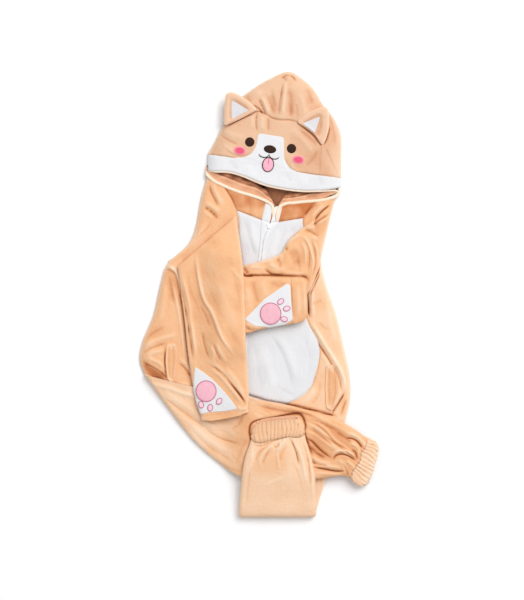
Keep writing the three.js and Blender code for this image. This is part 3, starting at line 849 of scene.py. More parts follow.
@dataclass(frozen=True)
class Plain(Recipe):
    """Moulded plastic or a floor: one colour, slightly uneven."""

    face: Screen
    roughness: float = 0.5
    grain: float = 60.0

    def make(self) -> bpy.types.Material:
        """Builds the material.

        Returns:
            A material whose colour and roughness vary a little over the surface.
        """
        n = Nodes(self.name)
        uneven = n.noise(n.place(), self.grain, 3, 0.5)
        base = n.blend(uneven, colour(self.face), colour(self.face, 0.96))
        roughness = uneven * 0.1 + (self.roughness - 0.05)
        return n.shaded({"Base Color": base, "Roughness": roughness, "Specular IOR Level": 0.3})


class Finishes:
    """Every finish of the garment, made once."""

    def __init__(self) -> None:
        """Makes all materials."""
        self.orange = Plush("orange_plush", (196, 118, 70), (233, 180, 136), (243, 213, 185)).into()
        self.peach = Plush(
            "peach_plush", (194, 122, 82), (222, 181, 149), (238, 209, 184)
        ).into("orange_plush")
        self.white = Plush(
            "white_plush", (204, 202, 206), (219, 219, 221), (231, 231, 233), (150, 112, 90),
            pile=0.5, patches=0.12,
        ).into()
        # the lining's deep colour is near black: painted shadow inside the hood's mouth, where its
        # tone is low
        self.lining = Plush(
            "lining_plush", (52, 25, 14), (194, 130, 95), (234, 182, 146), (70, 36, 22)
        ).into("lining")
        self.cream = Plush(
            "cream_edging", (225, 184, 148), (246, 224, 200), (252, 240, 227), patches=0.3
        ).into()
        self.pink = Stitched("pink_patch", (244, 184, 198), (206, 92, 128)).into()
        self.toe = Stitched("pink_toe", (250, 210, 224), (206, 92, 128)).into("pink_patch")
        self.tongue = Stitched("tongue_patch", (250, 180, 198), (92, 50, 48)).into("pink_patch")
        self.rose = Stitched("rose_patch", (230, 84, 118), (244, 152, 172)).into()
        self.brown = Stitched(
            "brown_stitching", (50, 26, 12), (34, 18, 8), gloss=0.8
        ).into("brown_patch")
        self.dark_pink = Stitched(
            "dark_pink_thread", (200, 96, 132), (200, 96, 132)
        ).into("pink_patch")
        self.thread = Stitched(
            "orange_thread", (222, 160, 108), (222, 160, 108)
        ).into("orange_plush")
        self.plastic = Plain("zip_plastic", (238, 238, 238)).into()


@dataclass
class Dresser:
    """Puts surfaces into the scene as pieces with their thickness and finish, and logs their cut.
    """

    finishes: Finishes
    count: int = 0

    def enter(self, obj: Piece, finish: Finish) -> Piece:
        """Gives a new object its finish and counts it.

        Args:
            obj: The object.
            finish: Its material and slot.

        Returns:
            The same object.
        """
        obj.data.materials.append(finish.material)
        self.count += 1
        LOG.info("%s: %d faces", obj.name, len(obj.data.polygons))
        return obj

    def trim(
        self, name: str, surface: Surface, finish: Finish, node: str = "", thin: bool = False
    ) -> Piece:
        """Adds a small piece.

        Args:
            name: Name of the piece.
            surface: Its surface.
            finish: Its material and slot.
            node: Solid that it stands for, if any.
            thin: Whether it is a patch of thin cloth, and not a closed body.

        Returns:
            The new object.
        """
        obj = self.enter(to_mesh(name, surface), finish)
        if thin:
            thicken(obj, TRIM, False)
        if node:
            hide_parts(node)
        return obj

    def sheet(
        self, node: str, surface: Surface, finish: Finish, rests_on: Sequence[str] = (),
        lined: bool = True, sewn: Sequence[Piece] = (), kind: str = "cloth",
    ) -> Piece:
        """Adds one piece of cloth and logs its cut.

        Args:
            node: Solid that it stands for; with its kind it makes the piece's name.
            surface: Its outer surface.
            finish: Its material and slot.
            rests_on: Pieces that it lies on; not used.
            lined: Whether it is plush with a lining, and not a thin patch.
            sewn: Separate pieces sewn on it; not used.
            kind: End of the piece's name.

        Returns:
            The new object.
        """
        obj = self.trim(f"{node}_{kind}", surface, finish, node, not lined)
        if lined:
            obj.data.materials.append(self.finishes.lining.material)
            thicken(obj, PLUSH, True)
        width, length, area = surface.cut()
        area = min(max(area, LEAST_FILL * width * length), width * length)
        resting, sewn = list(rests_on), list(sewn)
        LOG.info("%s: cut %.3f x %.3f m, %.4f square m", obj.name, width, length, area)
        return obj


# ---- shared shapes


def lying(
    outline: Array, ground: Ground, lift: float, puff: float, tuck: float = 1.2,
    pitch: float = 3.2, tone: float = 0.5, rimmed: bool = True,
) -> Surface:
    """A flat piece lying on others.

    Rings run from the middle to the outline. Each point is the ground's height plus a lift and a
    puff of (1 - r^4), and the last ring is turned down into the cloth below.

    Args:
        outline: Outline in plan, millimetres.
        ground: What it lies on.
        lift: Height above the ground, millimetres.
        puff: Extra height in the middle.
        tuck: How far the rim turns down.
        pitch: Distance between rings.
        tone: Tone all over.
        rimmed: Whether its rim is marked.

    Returns:
        Grid with one ring a row.
    """
    rim, line = 1.4, 1.1  # widths of the part turned down and of the marked line at the edge
    middle = outline.mean(0)
    reach = np.hypot(*(outline - middle).T).max()
    inner = unit(max(4, int(reach / pitch)) + 1)[:-1]
    r = np.concatenate([inner[inner < 1 - 1.6 / reach], 1 - np.array([1.3, 0.7, 0.3, 0]) / reach])
    x, y = rings(outline, r, middle)
    r = r[:, None]
    fall = np.clip(1 - (1 - r) * reach / rim, 0, 1)
    z = ground.at(x, y) + lift + puff * (1 - r**4) - tuck * (1 - np.sqrt(1 - fall**2))
    mark = np.clip(1 - (1 - r) * reach / line, 0, 1) if rimmed else 0
    return Surface(stacked(x, y, z), closed=True, disc=True, tone=tone, mark=mark)


def piping(
    path: Array, width: float, height: float, sides: int = 10, loop: bool = False
) -> Surface:
    """A cord of oval section along a line: the section is carried along, square to it in plan.

    Args:
        path: Points of its middle line, millimetres.
        width: Width in plan.
        height: Height of the section.
        sides: Points round the section.
        loop: Whether its two ends meet.

    Returns:
        Grid of rings, closed at both ends by shrinking rings.
    """
    path = np.concatenate([path, path[:2]]) if loop else path
    along = np.gradient(path, axis=0)
    along /= np.maximum(np.linalg.norm(along, axis=1), 1e-9)[:, None]
    side = np.cross(along, [0, 0, 1])
    side /= np.maximum(np.linalg.norm(side, axis=1), 1e-9)[:, None]
    if loop:
        side[0], side[-1] = side[-2], side[1]
        path, side = path[:-1], side[:-1]
        size = np.ones(len(path))
    else:
        from_end = np.minimum(np.arange(len(path)), np.arange(len(path))[::-1])
        size = np.clip(np.sqrt(from_end / 5), 0.02, 1)
    t = np.linspace(0, 2 * math.pi, sides, endpoint=False)[None, :, None]
    ring = np.cos(t) * side[:, None] * width / 2 + np.sin(t) * np.array([0, 0, 1]) * height / 2
    return Surface(path[:, None] + ring * size[:, None, None], closed=True)


def stitched_line(
    points: Any, ground: Ground, width: float, height: float, lift: float, loop: bool
) -> Surface:
    """A raised line of stitching over points in plan, lifted above the ground."""
    x, y = even(points, 1.2, loop).T
    return piping(stacked(x, y, ground.at(x, y) + lift), width, height, 8, loop)


def knob(outline: Array, low: float, height: float) -> Surface:
    """A small rounded solid: rings about the middle follow a profile from top to underside.

    Args:
        outline: Its greatest outline in plan.
        low: Height of its underside, millimetres.
        height: Its own height.

    Returns:
        Grid of rings.
    """
    share = np.array([0, 0.5, 0.8, 0.93, 1, 1, 0.92, 0.4, 0])
    high = np.array([1, 1, 0.97, 0.86, 0.62, 0.12, 0, 0, 0])
    x, y = rings(outline, share, outline.mean(0))
    return Surface(stacked(x, y, low + height * high[:, None]), closed=True)


def stitches(
    name: str, paths: Sequence[Array], ground: Ground, finish: Finish, dresser: Dresser
) -> None:
    """Rows of short raised stitches: each is a small spindle of six sides laid on the ground.

    Args:
        name: Name of the piece.
        paths: Lines in plan that the stitches follow.
        ground: What they lie on.
        finish: Their material and slot.
        dresser: Takes the finished piece.
    """
    length, gap, lift, sides = 3, 1.8, 0.2, 6
    lines = [even(path, (length + gap) / 2) for path in paths]
    middle = np.concatenate([line[1:-1:2] for line in lines])[:, None, None]
    way = np.concatenate([(line[2:] - line[:-2])[::2] for line in lines])[:, None, None]
    way = way / np.linalg.norm(way, axis=-1, keepdims=True)
    across = stacked(-way[..., 1], way[..., 0])
    t = np.linspace(0, 2 * math.pi, sides, endpoint=False)
    s = np.array([-0.5, -0.3, 0.3, 0.5])[:, None]
    fat = np.array([0.05, 0.55, 0.55, 0.05])[:, None]
    plan = middle + way * (s * length)[..., None] + across * (fat * np.cos(t))[..., None]
    z = ground.at(plan[..., 0], plan[..., 1]).mean(axis=2, keepdims=True) + lift + fat * np.sin(t)
    p = stacked(plan[..., 0] + SHIFT[0], plan[..., 1] + SHIFT[1], z)
    quads = faces_of(len(s), sides, True)[:, [0, 3, 2, 1]]
    first = np.arange(len(p))[:, None, None] * len(s) * sides
    dresser.enter(write_mesh(name, p.reshape(-1, 3), (quads + first).reshape(-1, 4)), finish)


# ---- body


class BodyRow(NamedTuple):
    """One row of the body: its height at the edges and zip, and where its seams run."""

    y_right: float
    y_zip: float
    y_left: float
    right: float
    raglan: float
    zip: float
    seam: float
    left: float


BODY_RELIEF = Relief((
    # shoulder by the raglan seam
    (3, -3, -102, 221, -98, 205, -90, 189, -82, 173),
    (4, 2.2, -94, 223, -88, 203, -74, 177),
    (3.2, -3.4, -114, 175, -104, 170, -94, 162, -81, 149),
    (3.5, 2.4, -112, 183, -98, 177, -80, 163),
    (2.6, 2.4, -114, 165, -104, 160, -94, 150),
    (5, 1.6, -104, 145, -126, 115, -150, 85),
    (2.4, -1.6, -92, 147, -112, 125, -136, 103),
    (3, 1.8, -128, 137, -136, 109, -160, 77),
    # rolled edge where the shoulder laps over the side
    lip(5, 5, -196, 49, -184, 51, -172, 45, -164, 29, -160, 5),
    (2.6, 2.2, -192, 57, -180, 55, -168, 47),
    (5, -2, -184, 41, -178, 17, -172, -21),
    (5, 1.4, -192, 29, -192, -11, -200, -61),
    # beside the sleeve
    (1.6, -3.4, -168, 37, -158, -7, -152, -47, -146, -91, -142, -135, -140, -175),
    (2.4, 2.6, -176, 29, -168, -7, -160, -47, -154, -91, -150, -131),
    # hip
    (3.2, 2.4, -236, -111, -216, -95, -194, -87, -160, -79),
    (2.4, -2.6, -238, -121, -220, -109, -200, -101, -182, -97),
    (3.5, 1.8, -228, -123, -208, -115, -188, -111),
    (3, -1.6, -236, -99, -216, -79, -188, -63),
    hollow(9.5, -2.7, -242, -133, -226, -148, -206, -161, -182, -173),
    (1.8, -1.8, -238, -133, -212, -146, -192, -160, -186, -173),
    (2.2, -6, -220, -164, -188, -175, -164, -181, -140, -186),
    (3, 2.4, -228, -125, -204, -135, -190, -147),
    (2.4, -2.8, -164, -137, -150, -147, -136, -167),
    (3.2, 2.2, -162, -127, -146, -141, -134, -157),
    (3, 1.8, -168, -179, -152, -179, -136, -183),
    # left side of the body
    (2.4, -3.4, 98, 37, 94, -3, 98, -51),
    (3, 2.2, 106, 9, 104, -19, 106, -47),
    (1.6, -6, 124, 71, 116, 45, 102, 21, 92, 7),
    (3, 2.4, 130, 61, 120, 37, 104, 9, 96, -5),
    (1.6, -5.6, 122, 47, 108, 17, 96, -7),
    # pleats at the shoulder
    (1.7, -6, 108, 143, 114, 155, 126, 168, 142, 180),
    (1.7, -4.6, 90, 128, 108, 140, 122, 150, 142, 163),
    (2.6, 2.8, 100, 149, 112, 165, 130, 180),
    (2.6, 2.8, 110, 137, 124, 147, 144, 156),
    (1.6, -3.4, 90, 128, 104, 123, 118, 115),
    (4, -2.2, 86, 155, 100, 171, 116, 183),
    (1.5, -4, -189, -101, -190, -135, -187, -171),
    (2.2, -1.6, 98, -23, 112, -17, 124, -11),
    (5, 1.2, 132, 17, 140, -47, 156, -111),
    (3, -1.4, 116, -55, 128, -67, 140, -71),
    (3.4, 4.2, 96, -47, 112, -71, 126, -95, 146, -127, 164, -159, 176, -203),
    (2.2, -4.6, 110, -87, 122, -107, 140, -135, 156, -167, 164, -199),
    (4, 1.6, 120, -115, 134, -135, 140, -163),
    (2, -5, 172, -191, 160, -211, 140, -243),
    (3.4, 2.4, 162, -187, 152, -211, 136, -233),
    (5, -3, 174, -207, 166, -227, 160, -247),
    (4, -1.8, 120, -171, 116, -199, 100, -223),
    (4, 1.6, 108, -183, 100, -203, 88, -219),
    # deep troughs along the crossing leg's upper edge and beside the forearm's end, which take the
    # painted shadow colour of deep creases
    fold(
        2.4, -6.4, -46, -193, -24, -200, -4, -206, 16, -212, 48, -218, 74, -223, 102, -230,
        130, -237, 160, -246, blunt=0.1,
    ),
    (1.8, -4.5, 92, 9, 96, -19, 98, -49),
    # chest
    (5, -1, -32, 157, -22, 113, -6, 65),
    (5, 1.3, -20, 157, -12, 113, -2, 77),
    (4.5, -1, 52, 137, 42, 109, 32, 77),
    (4.5, -1.1, 82, 161, 74, 139, 56, 119),
    (5, 1.2, 36, 133, 28, 101, 20, 69),
    # belly
    (6, -1.5, 14, -71, 30, -95, 48, -127, 68, -195),
    (7, 1.6, 32, -79, 56, -119, 78, -179),
    (8, -0.9, -12, -91, -6, -143, 4, -199),
    (7, -0.9, 84, -75, 98, -123, 92, -175),
    (7, 1.3, 4, -95, 14, -139, 28, -195),
    (5, -0.8, 32, -187, 52, -195, 76, -207),
), swell=0.45, size=50, seed=3, grain=0.16, way=72)


@dataclass
class Body:
    """Front and back of the body. The front is cut as two sides, two yokes and two belly panels."""

    rows: tuple[BodyRow, ...] = rows_of(
        BodyRow,
        (233, 175, 197, -106, -76, 28, 116, 152),
        (195, 142, 161, -117, -46, 20, 86, 142),
        (112, 109, 109, -136, -42, 8, 94, 130),
        (62, 65, 66, -184, -36, 2, 100, 122),
        (23, 19, 19, -198, -42, -12, 98, 132),
        (-39, -41, -41, -212, -46, -27, 90, 152),
        (-93, -101, -101, -234, -48, -33, 118, 166),
        (-128, -151, -157, -240, -48, -34, 112, 178),
        (-151, -183, -207, -234, -48, -34, 91, 180),
        (-172, -214, -262, -224, -48, -34, 26, 168),
    )
    relief: Relief = BODY_RELIEF
    top: float = 14.0  # height of the front cloth
    low: float = 3.2  # height of its edges
    roll: float = 21.0  # width over which the edges roll down
    raised: float = 1.3  # how far the back's edges are raised to meet the front
    wave: float = 0.35  # height of the back's soft waves
    pitch: float = 1.9  # distance between the points of a row
    length: float = 440.0
    covers: tuple[Array, ...] = ()  # outlines of what lies on it
    yoke: float = field(init=False)
    seams: tuple[Fold, ...] = field(init=False)
    sides: tuple[Array, Array] = field(init=False)

    def __post_init__(self) -> None:
        """Works out the side lines and the grooves of the seams."""
        self.yoke = 1 / (len(self.rows) - 1)
        self.sides = (self.line("right", unit(46)), self.line("left", unit(46)))
        starts = (("raglan", 0), ("seam", 0), ("zip", self.yoke))
        paths = [self.line(name, np.linspace(start, 1, 16)) for name, start in starts]
        x = np.linspace(self.at("raglan", self.yoke), self.at("seam", self.yoke), 12)
        paths.append(stacked(x, self.y(np.full_like(x, self.yoke), x)))
        self.seams = tuple(Fold(path, 2.2, -2.6, blunt=0.01) for path in paths)

    def at(self, name: str, t: Array | float) -> Array:
        """One column of the table at row t, from 0 to 1."""
        return column(self.rows, name, t)

    def y(self, t: Array, x: Array) -> Array:
        """Runs a row across the body: straight from the zip to each edge.

        Args:
            t: Row, from 0 to 1.
            x: Plan positions, millimetres.

        Returns:
            The other plan positions.
        """
        middle = self.at("zip", t)
        edge = np.where(x < middle, self.at("right", t), self.at("left", t))
        end = np.where(x < middle, self.at("y_right", t), self.at("y_left", t))
        start = self.at("y_zip", t)
        return start + (end - start) * (x - middle) / (edge - middle)

    def line(self, name: str, t: Array) -> Array:
        """Points of one seam or edge in plan."""
        x = self.at(name, t)
        return stacked(x, self.y(t, x))

    def away(self, x: Array, y: Array) -> Array:
        """Distance from the nearer side."""
        return np.minimum(*(nearest(side, x, y)[0] for side in self.sides))

    def height(self, x: Array, y: Array) -> tuple[Array, Array]:
        """Height of the front cloth and its folds.

        A quarter round rises from both sides; folds and seam grooves are added, less where other
        cloth lies on them.

        Args:
            x, y: Plan positions, millimetres.

        Returns:
            Height of the surface, and the part of it due to folds.
        """
        away = self.away(x, y)
        turn = 1 - np.clip(away / self.roll, 0, 1)
        free = np.ones(x.shape)
        for outline in self.covers:
            free *= 1 - 0.85 * ramp(within(outline, x, y), 0, 12)
        folds = self.relief.at(x, y) * free * ramp(away, -4, 12)
        groove = sum(seam.at(x, y) for seam in self.seams)
        z = self.low + (self.top - self.low) * np.sqrt(1 - turn**2.2) + folds + groove
        return z, folds + 0.6 * groove

    def panel(self, start: float, end: float, first: str, last: str) -> Surface:
        """One panel of the front.

        Args:
            start: Row at its upper edge, from 0 to 1.
            end: Row at its lower edge.
            first: Seam or edge at its smaller x.
            last: Seam or edge at its larger x.

        Returns:
            Grid of the panel.
        """
        count = max(8, int((end - start) * self.length / self.pitch / ROWS_APART))
        t = np.linspace(start, end, count)[:, None]
        x0, x1 = self.at(first, t), self.at(last, t)
        v = unit(max(10, int((x1 - x0).max() / self.pitch)))[None]
        if first == "right":
            v = v**1.25
        if last == "left":
            v = 1 - (1 - v) ** 1.25
        x = x0 + (x1 - x0) * v
        y = self.y(np.broadcast_to(t, x.shape), x)
        z, folds = self.height(x, y)
        tone = shade(folds)
        if last == "left":
            tone = tone + 0.2 - 0.27 * ramp(y, 90, 150)
        if end < 0.5:
            dull = 0.14 if first == "raglan" else 0.36
            tone = tone - dull - 0.06 * ripple(x, y, 22, 33) - 0.2 * ramp(y, 168, 184)
        # painted sheen: the tone is paler along the side edges
        tone = tone + 0.35 * (1 - ramp(self.away(x, y), 1, 6))
        return Surface(stacked(x, y, z), tone=tone, mark=crease(folds))

    def back(self) -> Surface:
        """The back: the same outline with a straight neck, flat on the surface, its edges raised.

        Returns:
            Grid of the panel, facing down.
        """
        t = unit(76)[:, None]
        v = unit(62)[None]
        x0, x1 = self.at("right", t), self.at("left", t)
        x = x0 + (x1 - x0) * v
        t = np.broadcast_to(t, x.shape)
        first, last = self.at("y_right", t), self.at("y_left", t)
        share = ramp(t, 0, 0.4)
        y = (first + (last - first) * v) * (1 - share) + self.y(t, x) * share
        away = self.away(x, y)
        swell = ripple(x, y, 70, 31)
        z = FLOOR + self.wave * np.maximum(1 + swell, 0) * ramp(away, 2, 20)
        z = z + self.raised * (1 - ramp(away, 0, 7))
        # painted light: a painted highlight on its swells, and painted shade deepening towards the
        # neck, inside the hood's mouth
        tone = 0.5 + 0.1 * swell - 0.2 * ramp(y, 150, 185)
        return Surface(stacked(x, y, z), tone=tone, down=True)

    def build(self, dresser: Dresser) -> Ground:
        """Makes and dresses all panels.

        Args:
            dresser: Takes the finished pieces.

        Returns:
            The ground that the front gives to what lies on it.
        """
        orange, white = dresser.finishes.orange, dresser.finishes.white
        dresser.sheet("body_back", self.back(), orange)
        cuts = (
            ("front_right", 0, 1, "right", "raglan", orange),
            ("front_left", 0, 1, "seam", "left", orange),
            ("yoke_right", 0, self.yoke, "raglan", "zip", orange),
            ("yoke_left", 0, self.yoke, "zip", "seam", orange),
            ("belly_right", self.yoke, 1, "raglan", "zip", white),
            ("belly_left", self.yoke, 1, "zip", "seam", white),
        )
        made = []
        for node, start, end, first, last, finish in cuts:
            made.append(self.panel(start, end, first, last))
            dresser.sheet(node, made[-1], finish, ["body_back_cloth"])
        return Ground(*made)


@dataclass
class Zip:
    """Tapes on both sides of the zip line, a coil below the slider, and the slider."""

    body: Body
    tape: float = 17.0  # width of a tape at the neck
    slimmer: float = 10.0  # how much narrower it is below the slider
    lift: float = 1.5  # height of a tape above the front
    edge: float = 1.1  # how far its inner edge stands up and its outer edge falls
    slider_at: float = 0.13  # where the slider stands, as a share of the rows
    end: float = 0.985
    opening: float = 0.9  # half the room between the tapes below the slider
    mouth: float = 1.6  # how much wider it is at the neck
    tooth: float = 1.7  # millimetres between the points of the coil
    swing: float = 1.1  # how far the coil goes to either side
    coil_at: float = 2.5  # its height above the front
    slider: tuple[Point, ...] = ((-3, -5), (3, -5), (4.5, 1), (4, 5), (0, 4), (-4, 5), (-4.5, 1))
    slider_low: float = 2.2  # height of the slider's underside above the front
    slider_high: float = 2.6

    def gap(self, t: Array) -> Array:
        """Half the room between the tapes: open above the slider."""
        return self.opening + self.mouth * (1 - ramp(t, 0, self.slider_at))

    def side(self, ground: Ground, sign: float) -> Surface:
        """One tape: a strip beside the zip line with a rolled inner edge.

        Args:
            ground: Front of the body.
            sign: 1 for the wearer's left tape, -1 for the right one.

        Returns:
            Grid of the tape.
        """
        t = np.linspace(0.004, self.end, 210)[:, None]
        v = unit(13)[None]
        wide = self.tape - self.slimmer * ramp(t, 0.10, 0.24)
        x = self.body.at("zip", t) + sign * (self.gap(t) + (wide - self.gap(t)) * v)
        y = self.body.y(np.broadcast_to(t, x.shape), x)
        z = ground.at(x, y) + self.lift + self.edge * (bell(v, 0.2) - v**8)
        return Surface(stacked(x, y, z), tone=0.55 + 0.3 * (1 - v))

    def build(self, dresser: Dresser, ground: Ground) -> None:
        """Makes both tapes, the coil and the slider.

        Args:
            dresser: Takes the finished pieces.
            ground: Front of the body.
        """
        white, plastic = dresser.finishes.white, dresser.finishes.plastic
        for side, sign in SIDES:
            tape = self.side(ground, sign)
            dresser.sheet(f"zip_tape_{side}", tape, white, [f"belly_{side}_cloth"], lined=False)
        path = self.body.line("zip", np.linspace(self.slider_at, self.end, 400))
        x, y = even(path, self.tooth).T
        turn = np.arange(len(x)) * 0.9
        high = ground.at(x, y) + self.coil_at + 0.3 * np.sin(turn)
        coil = stacked(x + self.swing * np.cos(turn * math.pi), y, high)
        dresser.trim("zip_coil", piping(coil, 1.6, 1.5, 6), plastic, "zip_chain")
        outline = rounded(path[0] + np.array(self.slider), 1.6, 0.7)
        slider = knob(outline, float(ground.at(*path[0])) + self.slider_low, self.slider_high)
        dresser.trim("zip_slider_body", slider, plastic, "zip_slider")


# ---- hood


class FanRow(NamedTuple):
    """A ray of the crown, from the seam over the face to the outline, in the hood's axes."""

    inner: float
    inner_b: float
    outer_a: float
    outer_b: float


ARCH = np.array(
    [(-104, 30), (-95, 42), (-70, 56), (-50, 66), (-36, 70), (-24, 67), (-10, 61.5), (7, 60),
     (26, 62.5), (42, 60), (66, 47), (84, 35), (95, 23)], float
)


def arch(a: Array | float) -> Array:
    """Seam over the face: a table of heights, smoothed, from ear to ear."""
    return through(ARCH, np.asarray(a, float), 150)


def from_arch(inner: float, outer_a: float, outer_b: float) -> FanRow:
    """A ray of the crown that starts on the seam over the face."""
    return FanRow(inner, float(arch(inner)), outer_a, outer_b)


HOOD_RELIEF = Relief((
    # centre seam and pleats of the crown
    (3, 3.2, 52, 431, 48, 393, 45, 349),
    (2, -3, 47, 425, 41, 393, 38, 373, 37, 351),
    (3, 2.6, 2, 395, 10, 379, 18, 357),
    (2.2, -2.6, -4, 391, 4, 375, 12, 355),
    (7, -2, 20, 401, 26, 377, 28, 353),
    (2, -1.6, 12, 399, 20, 381, 26, 361),
    (1.8, -3.2, -16, 379, 0, 367, 6, 357),
    (8, -2.2, 56, 413, 62, 385, 62, 349),
    (2.2, -0.8, 56, 389, 60, 369, 60, 349),
    (1.9, -1.2, 70, 383, 74, 365, 74, 347),
    (3.6, 1.2, 78, 405, 86, 377, 92, 349),
    (1.9, -1.5, 20, 417, 26, 393, 32, 369),
    # short creases at the peak
    (2, -3.4, 40, 427, 47, 434, 56, 437, 66, 433, 74, 421),
    (2, -2, 44, 433, 50, 429, 51, 421),
    (3, 2, 60, 445, 56, 435),
    # sides of the crown
    (6, -1.8, -34, 405, -16, 381),
    (6, 1.6, -20, 421, 4, 393),
    (6, -1.6, 92, 413, 106, 377),
    (7, 1.6, 108, 405, 124, 377),
    (6, -1.8, 132, 369, 146, 329, 150, 289),
    (6, 1.6, 144, 365, 156, 317),
    # creases along the ears
    (1.8, -4.4, -74, 331, -58, 339, -36, 350, -4, 364),
    (1.5, -1.8, 72, 339, 88, 330, 106, 316, 120, 295),
    (1.8, -4, 139, 339, 136, 319, 126, 295),
    # face
    (1.9, -3.2, -6, 365, -8, 341, -6, 321),
    (2.2, -2.2, 16, 353, 16, 323),
    (4, 1.8, 4, 357, 4, 325),
    (3, 1.4, -16, 357, -16, 329),
    (2.4, -1.9, -82, 321, -64, 307, -42, 297),
    (4, 1.4, -76, 331, -56, 317, -28, 313),
    (2.4, -1.5, -72, 289, -44, 275, -12, 281),
    (3, 1.2, -76, 299, -60, 289, -52, 279),
    (3.4, -1.6, 76, 329, 96, 313, 114, 295),
    (4, 1.3, 60, 333, 88, 305, 108, 277),
    (3, -1.4, 88, 253, 104, 269, 116, 289),
    (3, -1.5, 48, 273, 56, 253, 76, 243),
    (3, 1.5, 60, 261, 68, 249, 92, 243),
), swell=0.35, size=48, seed=11, grain=0.09, way=80)
BRIM_RELIEF = Relief((
    (6, -1, -64, 269, -44, 245),
    (7, 1, -28, 257, -12, 229),
    (6, -0.9, 50, 245, 60, 221),
    (7, 0.9, 80, 237, 90, 213),
    (6, -1, 116, 237, 124, 213),
), swell=0.3, size=45, seed=12, grain=0.05)


@dataclass
class Hood:
    """Hood lying on its back: back, brim, face panel and a crown in two halves."""

    tilt: float = -8.9  # turn of its own axes in the garment, degrees
    at: Point = (24, 289)  # their origin
    top: float = 24.0  # height of the front cloth
    low: float = 4.2  # height of its edges
    roll: float = 40.0  # width over which the edges roll down
    raised: float = 2.0  # how far the back's edge is raised to meet the front
    wave: float = 0.35  # height of the back's soft waves
    hem_roll: float = 4.6  # how far the brim's free edge rolls under
    hem_width: float = 5.0  # over this width
    cord: Point = (3.6, 3.4)  # width and height of its corded edge
    cord_drop: float = 3.9  # how far the cord lies below the brim
    middle: Point = (15, 20)  # about the middle of the back
    centre_seam: int = 6  # ray where the crown's halves meet
    hem: tuple[Point, ...] = (
        (-124, -64), (-104, -61), (-76, -58), (-51, -61), (-30, -66), (-2, -72), (28, -74),
        (68, -73), (107, -67), (127, -61), (148, -53),
    )
    fan: tuple[FanRow, ...] = rows_of(
        from_arch,
        (-100, -104.7, 32), (-89, -100, 48), (-74, -91, 69), (-55, -78, 91), (-36, -58, 113),
        (-14, -30, 137), (7, 7, 159), (28, 36, 150), (48, 64, 131), (66, 86, 105), (82, 111, 82),
    ) + rows_of(
        FanRow, (95.6, float(arch(95)), 131, 50), (98.6, 0, 139, 6), (101, -36.5, 145, -35.2)
    )
    outline: Array = field(init=False)

    def __post_init__(self) -> None:
        """Works out the hood's outline in its own axes."""
        rays = stacked(column(self.fan, "outer_a", unit(80)), column(self.fan, "outer_b", unit(80)))
        self.outline = np.concatenate([[(-122, -66), (-124, -33), (-107, 24)], rays, [(149, -57)]])

    def plan(self, a: Array, b: Array) -> tuple[Array, Array]:
        """Position in the garment of a point in the hood's own axes."""
        x, y = turned(a, b, self.tilt)
        return self.at[0] + x, self.at[1] + y

    def brim_top(self, a: Array) -> Array:
        """Seam between brim and face: falls from the wearer's right, then rises a little."""
        return -29 - 8 * ramp(a, -60, 50) + 2 * ramp(a, 80, 140)

    def seams(self, a: Array, b: Array) -> Array:
        """Grooves along the seams: over the face, along the brim, and two at the wearer's left.

        Args:
            a, b: Positions across and up the hood.

        Returns:
            Heights in millimetres, below 0.
        """
        t = np.linspace(-102, 95, 40)
        along = np.linspace(-124, 146, 20)
        groove = Fold(stacked(t, arch(t)), 2, -2.8, blunt=0.01).at(a, b)
        bare = 1 - 0.9 * ramp(a, -78, -66) * (1 - ramp(a, 56, 68))
        groove += Fold(stacked(along, self.brim_top(along)), 2, -2.2, blunt=0.005).at(a, b) * bare
        groove += fold(1.6, -0.9, 94, 25, 96, -1, 101.5, -31, blunt=0.02).at(a, b)
        return groove + fold(1.8, -1.8, 106, 17, 120, -5, 136, -29, blunt=0.05).at(a, b)

    def surface(self, a: Array, b: Array, relief: Relief, base: float = 0.5) -> Surface:
        """Front cloth of the hood over a grid in its own axes.

        A quarter round rises from the outline; folds, and grooves along the seams, are added.

        Args:
            a, b: Positions across and up the hood.
            relief: Folds of this cloth.
            base: Tone of its flat parts.

        Returns:
            Grid of the cloth.
        """
        away = nearest(self.outline, a, b)[0]
        turn = 1 - np.clip(away / self.roll, 0, 1)
        x, y = self.plan(a, b)
        folds = relief.at(x, y) * ramp(away, -3, 12)
        groove = self.seams(a, b)
        z = self.low + (self.top - self.low) * (1 - turn**2.1) ** 0.5 + folds + groove
        # painted shade and highlight from folds and seam grooves, and painted sheen paler along the
        # outline; deep folds and grooves take the painted shadow colour
        tone = shade(folds + 0.7 * groove, base - 0.12 * ramp(a, 20, 90))
        tone = tone + 0.3 * (1 - ramp(away, 1, 6))
        return Surface(stacked(x, y, z), tone=tone, mark=crease(folds + 0.8 * groove))

    def brim(self) -> Surface:
        """The white band over the mouth, its free edge rolled under by a quarter round.

        Returns:
            Grid of the band.
        """
        u = np.concatenate([np.linspace(0, 0.12, 9), np.linspace(0.12, 1, 25)[1:]])[:, None]
        left = -121.5 - 2.3 * u
        right = 147.5 - 2.5 * u
        a = left + (right - left) * unit(118)[None]
        lower = through(self.hem, a)
        b = lower + (self.brim_top(a) - lower) * u
        made = self.surface(a, b, BRIM_RELIEF, 0.6)
        hem = np.clip(1 - (b - lower) / self.hem_width, 0, 1)
        made.points[..., 2] -= self.hem_roll * (1 - np.sqrt(1 - hem**2))
        return made

    def face(self) -> Surface:
        """The face panel, straight from the brim to the seam over the face.

        Returns:
            Grid of the panel.
        """
        u = unit(58)[:, None]
        v = unit(116)[None]
        left = -124 + 20 * u
        seam = 100.5 - 5 * u
        a = left + (seam + 1.8 - left) * v
        lower = self.brim_top(a)
        made = self.surface(a, lower + (arch(-104 + 200.8 * v) - lower) * u, HOOD_RELIEF)
        made.points[..., 2] -= 1.3 * ramp(a - seam, 0, 0.9)
        return made

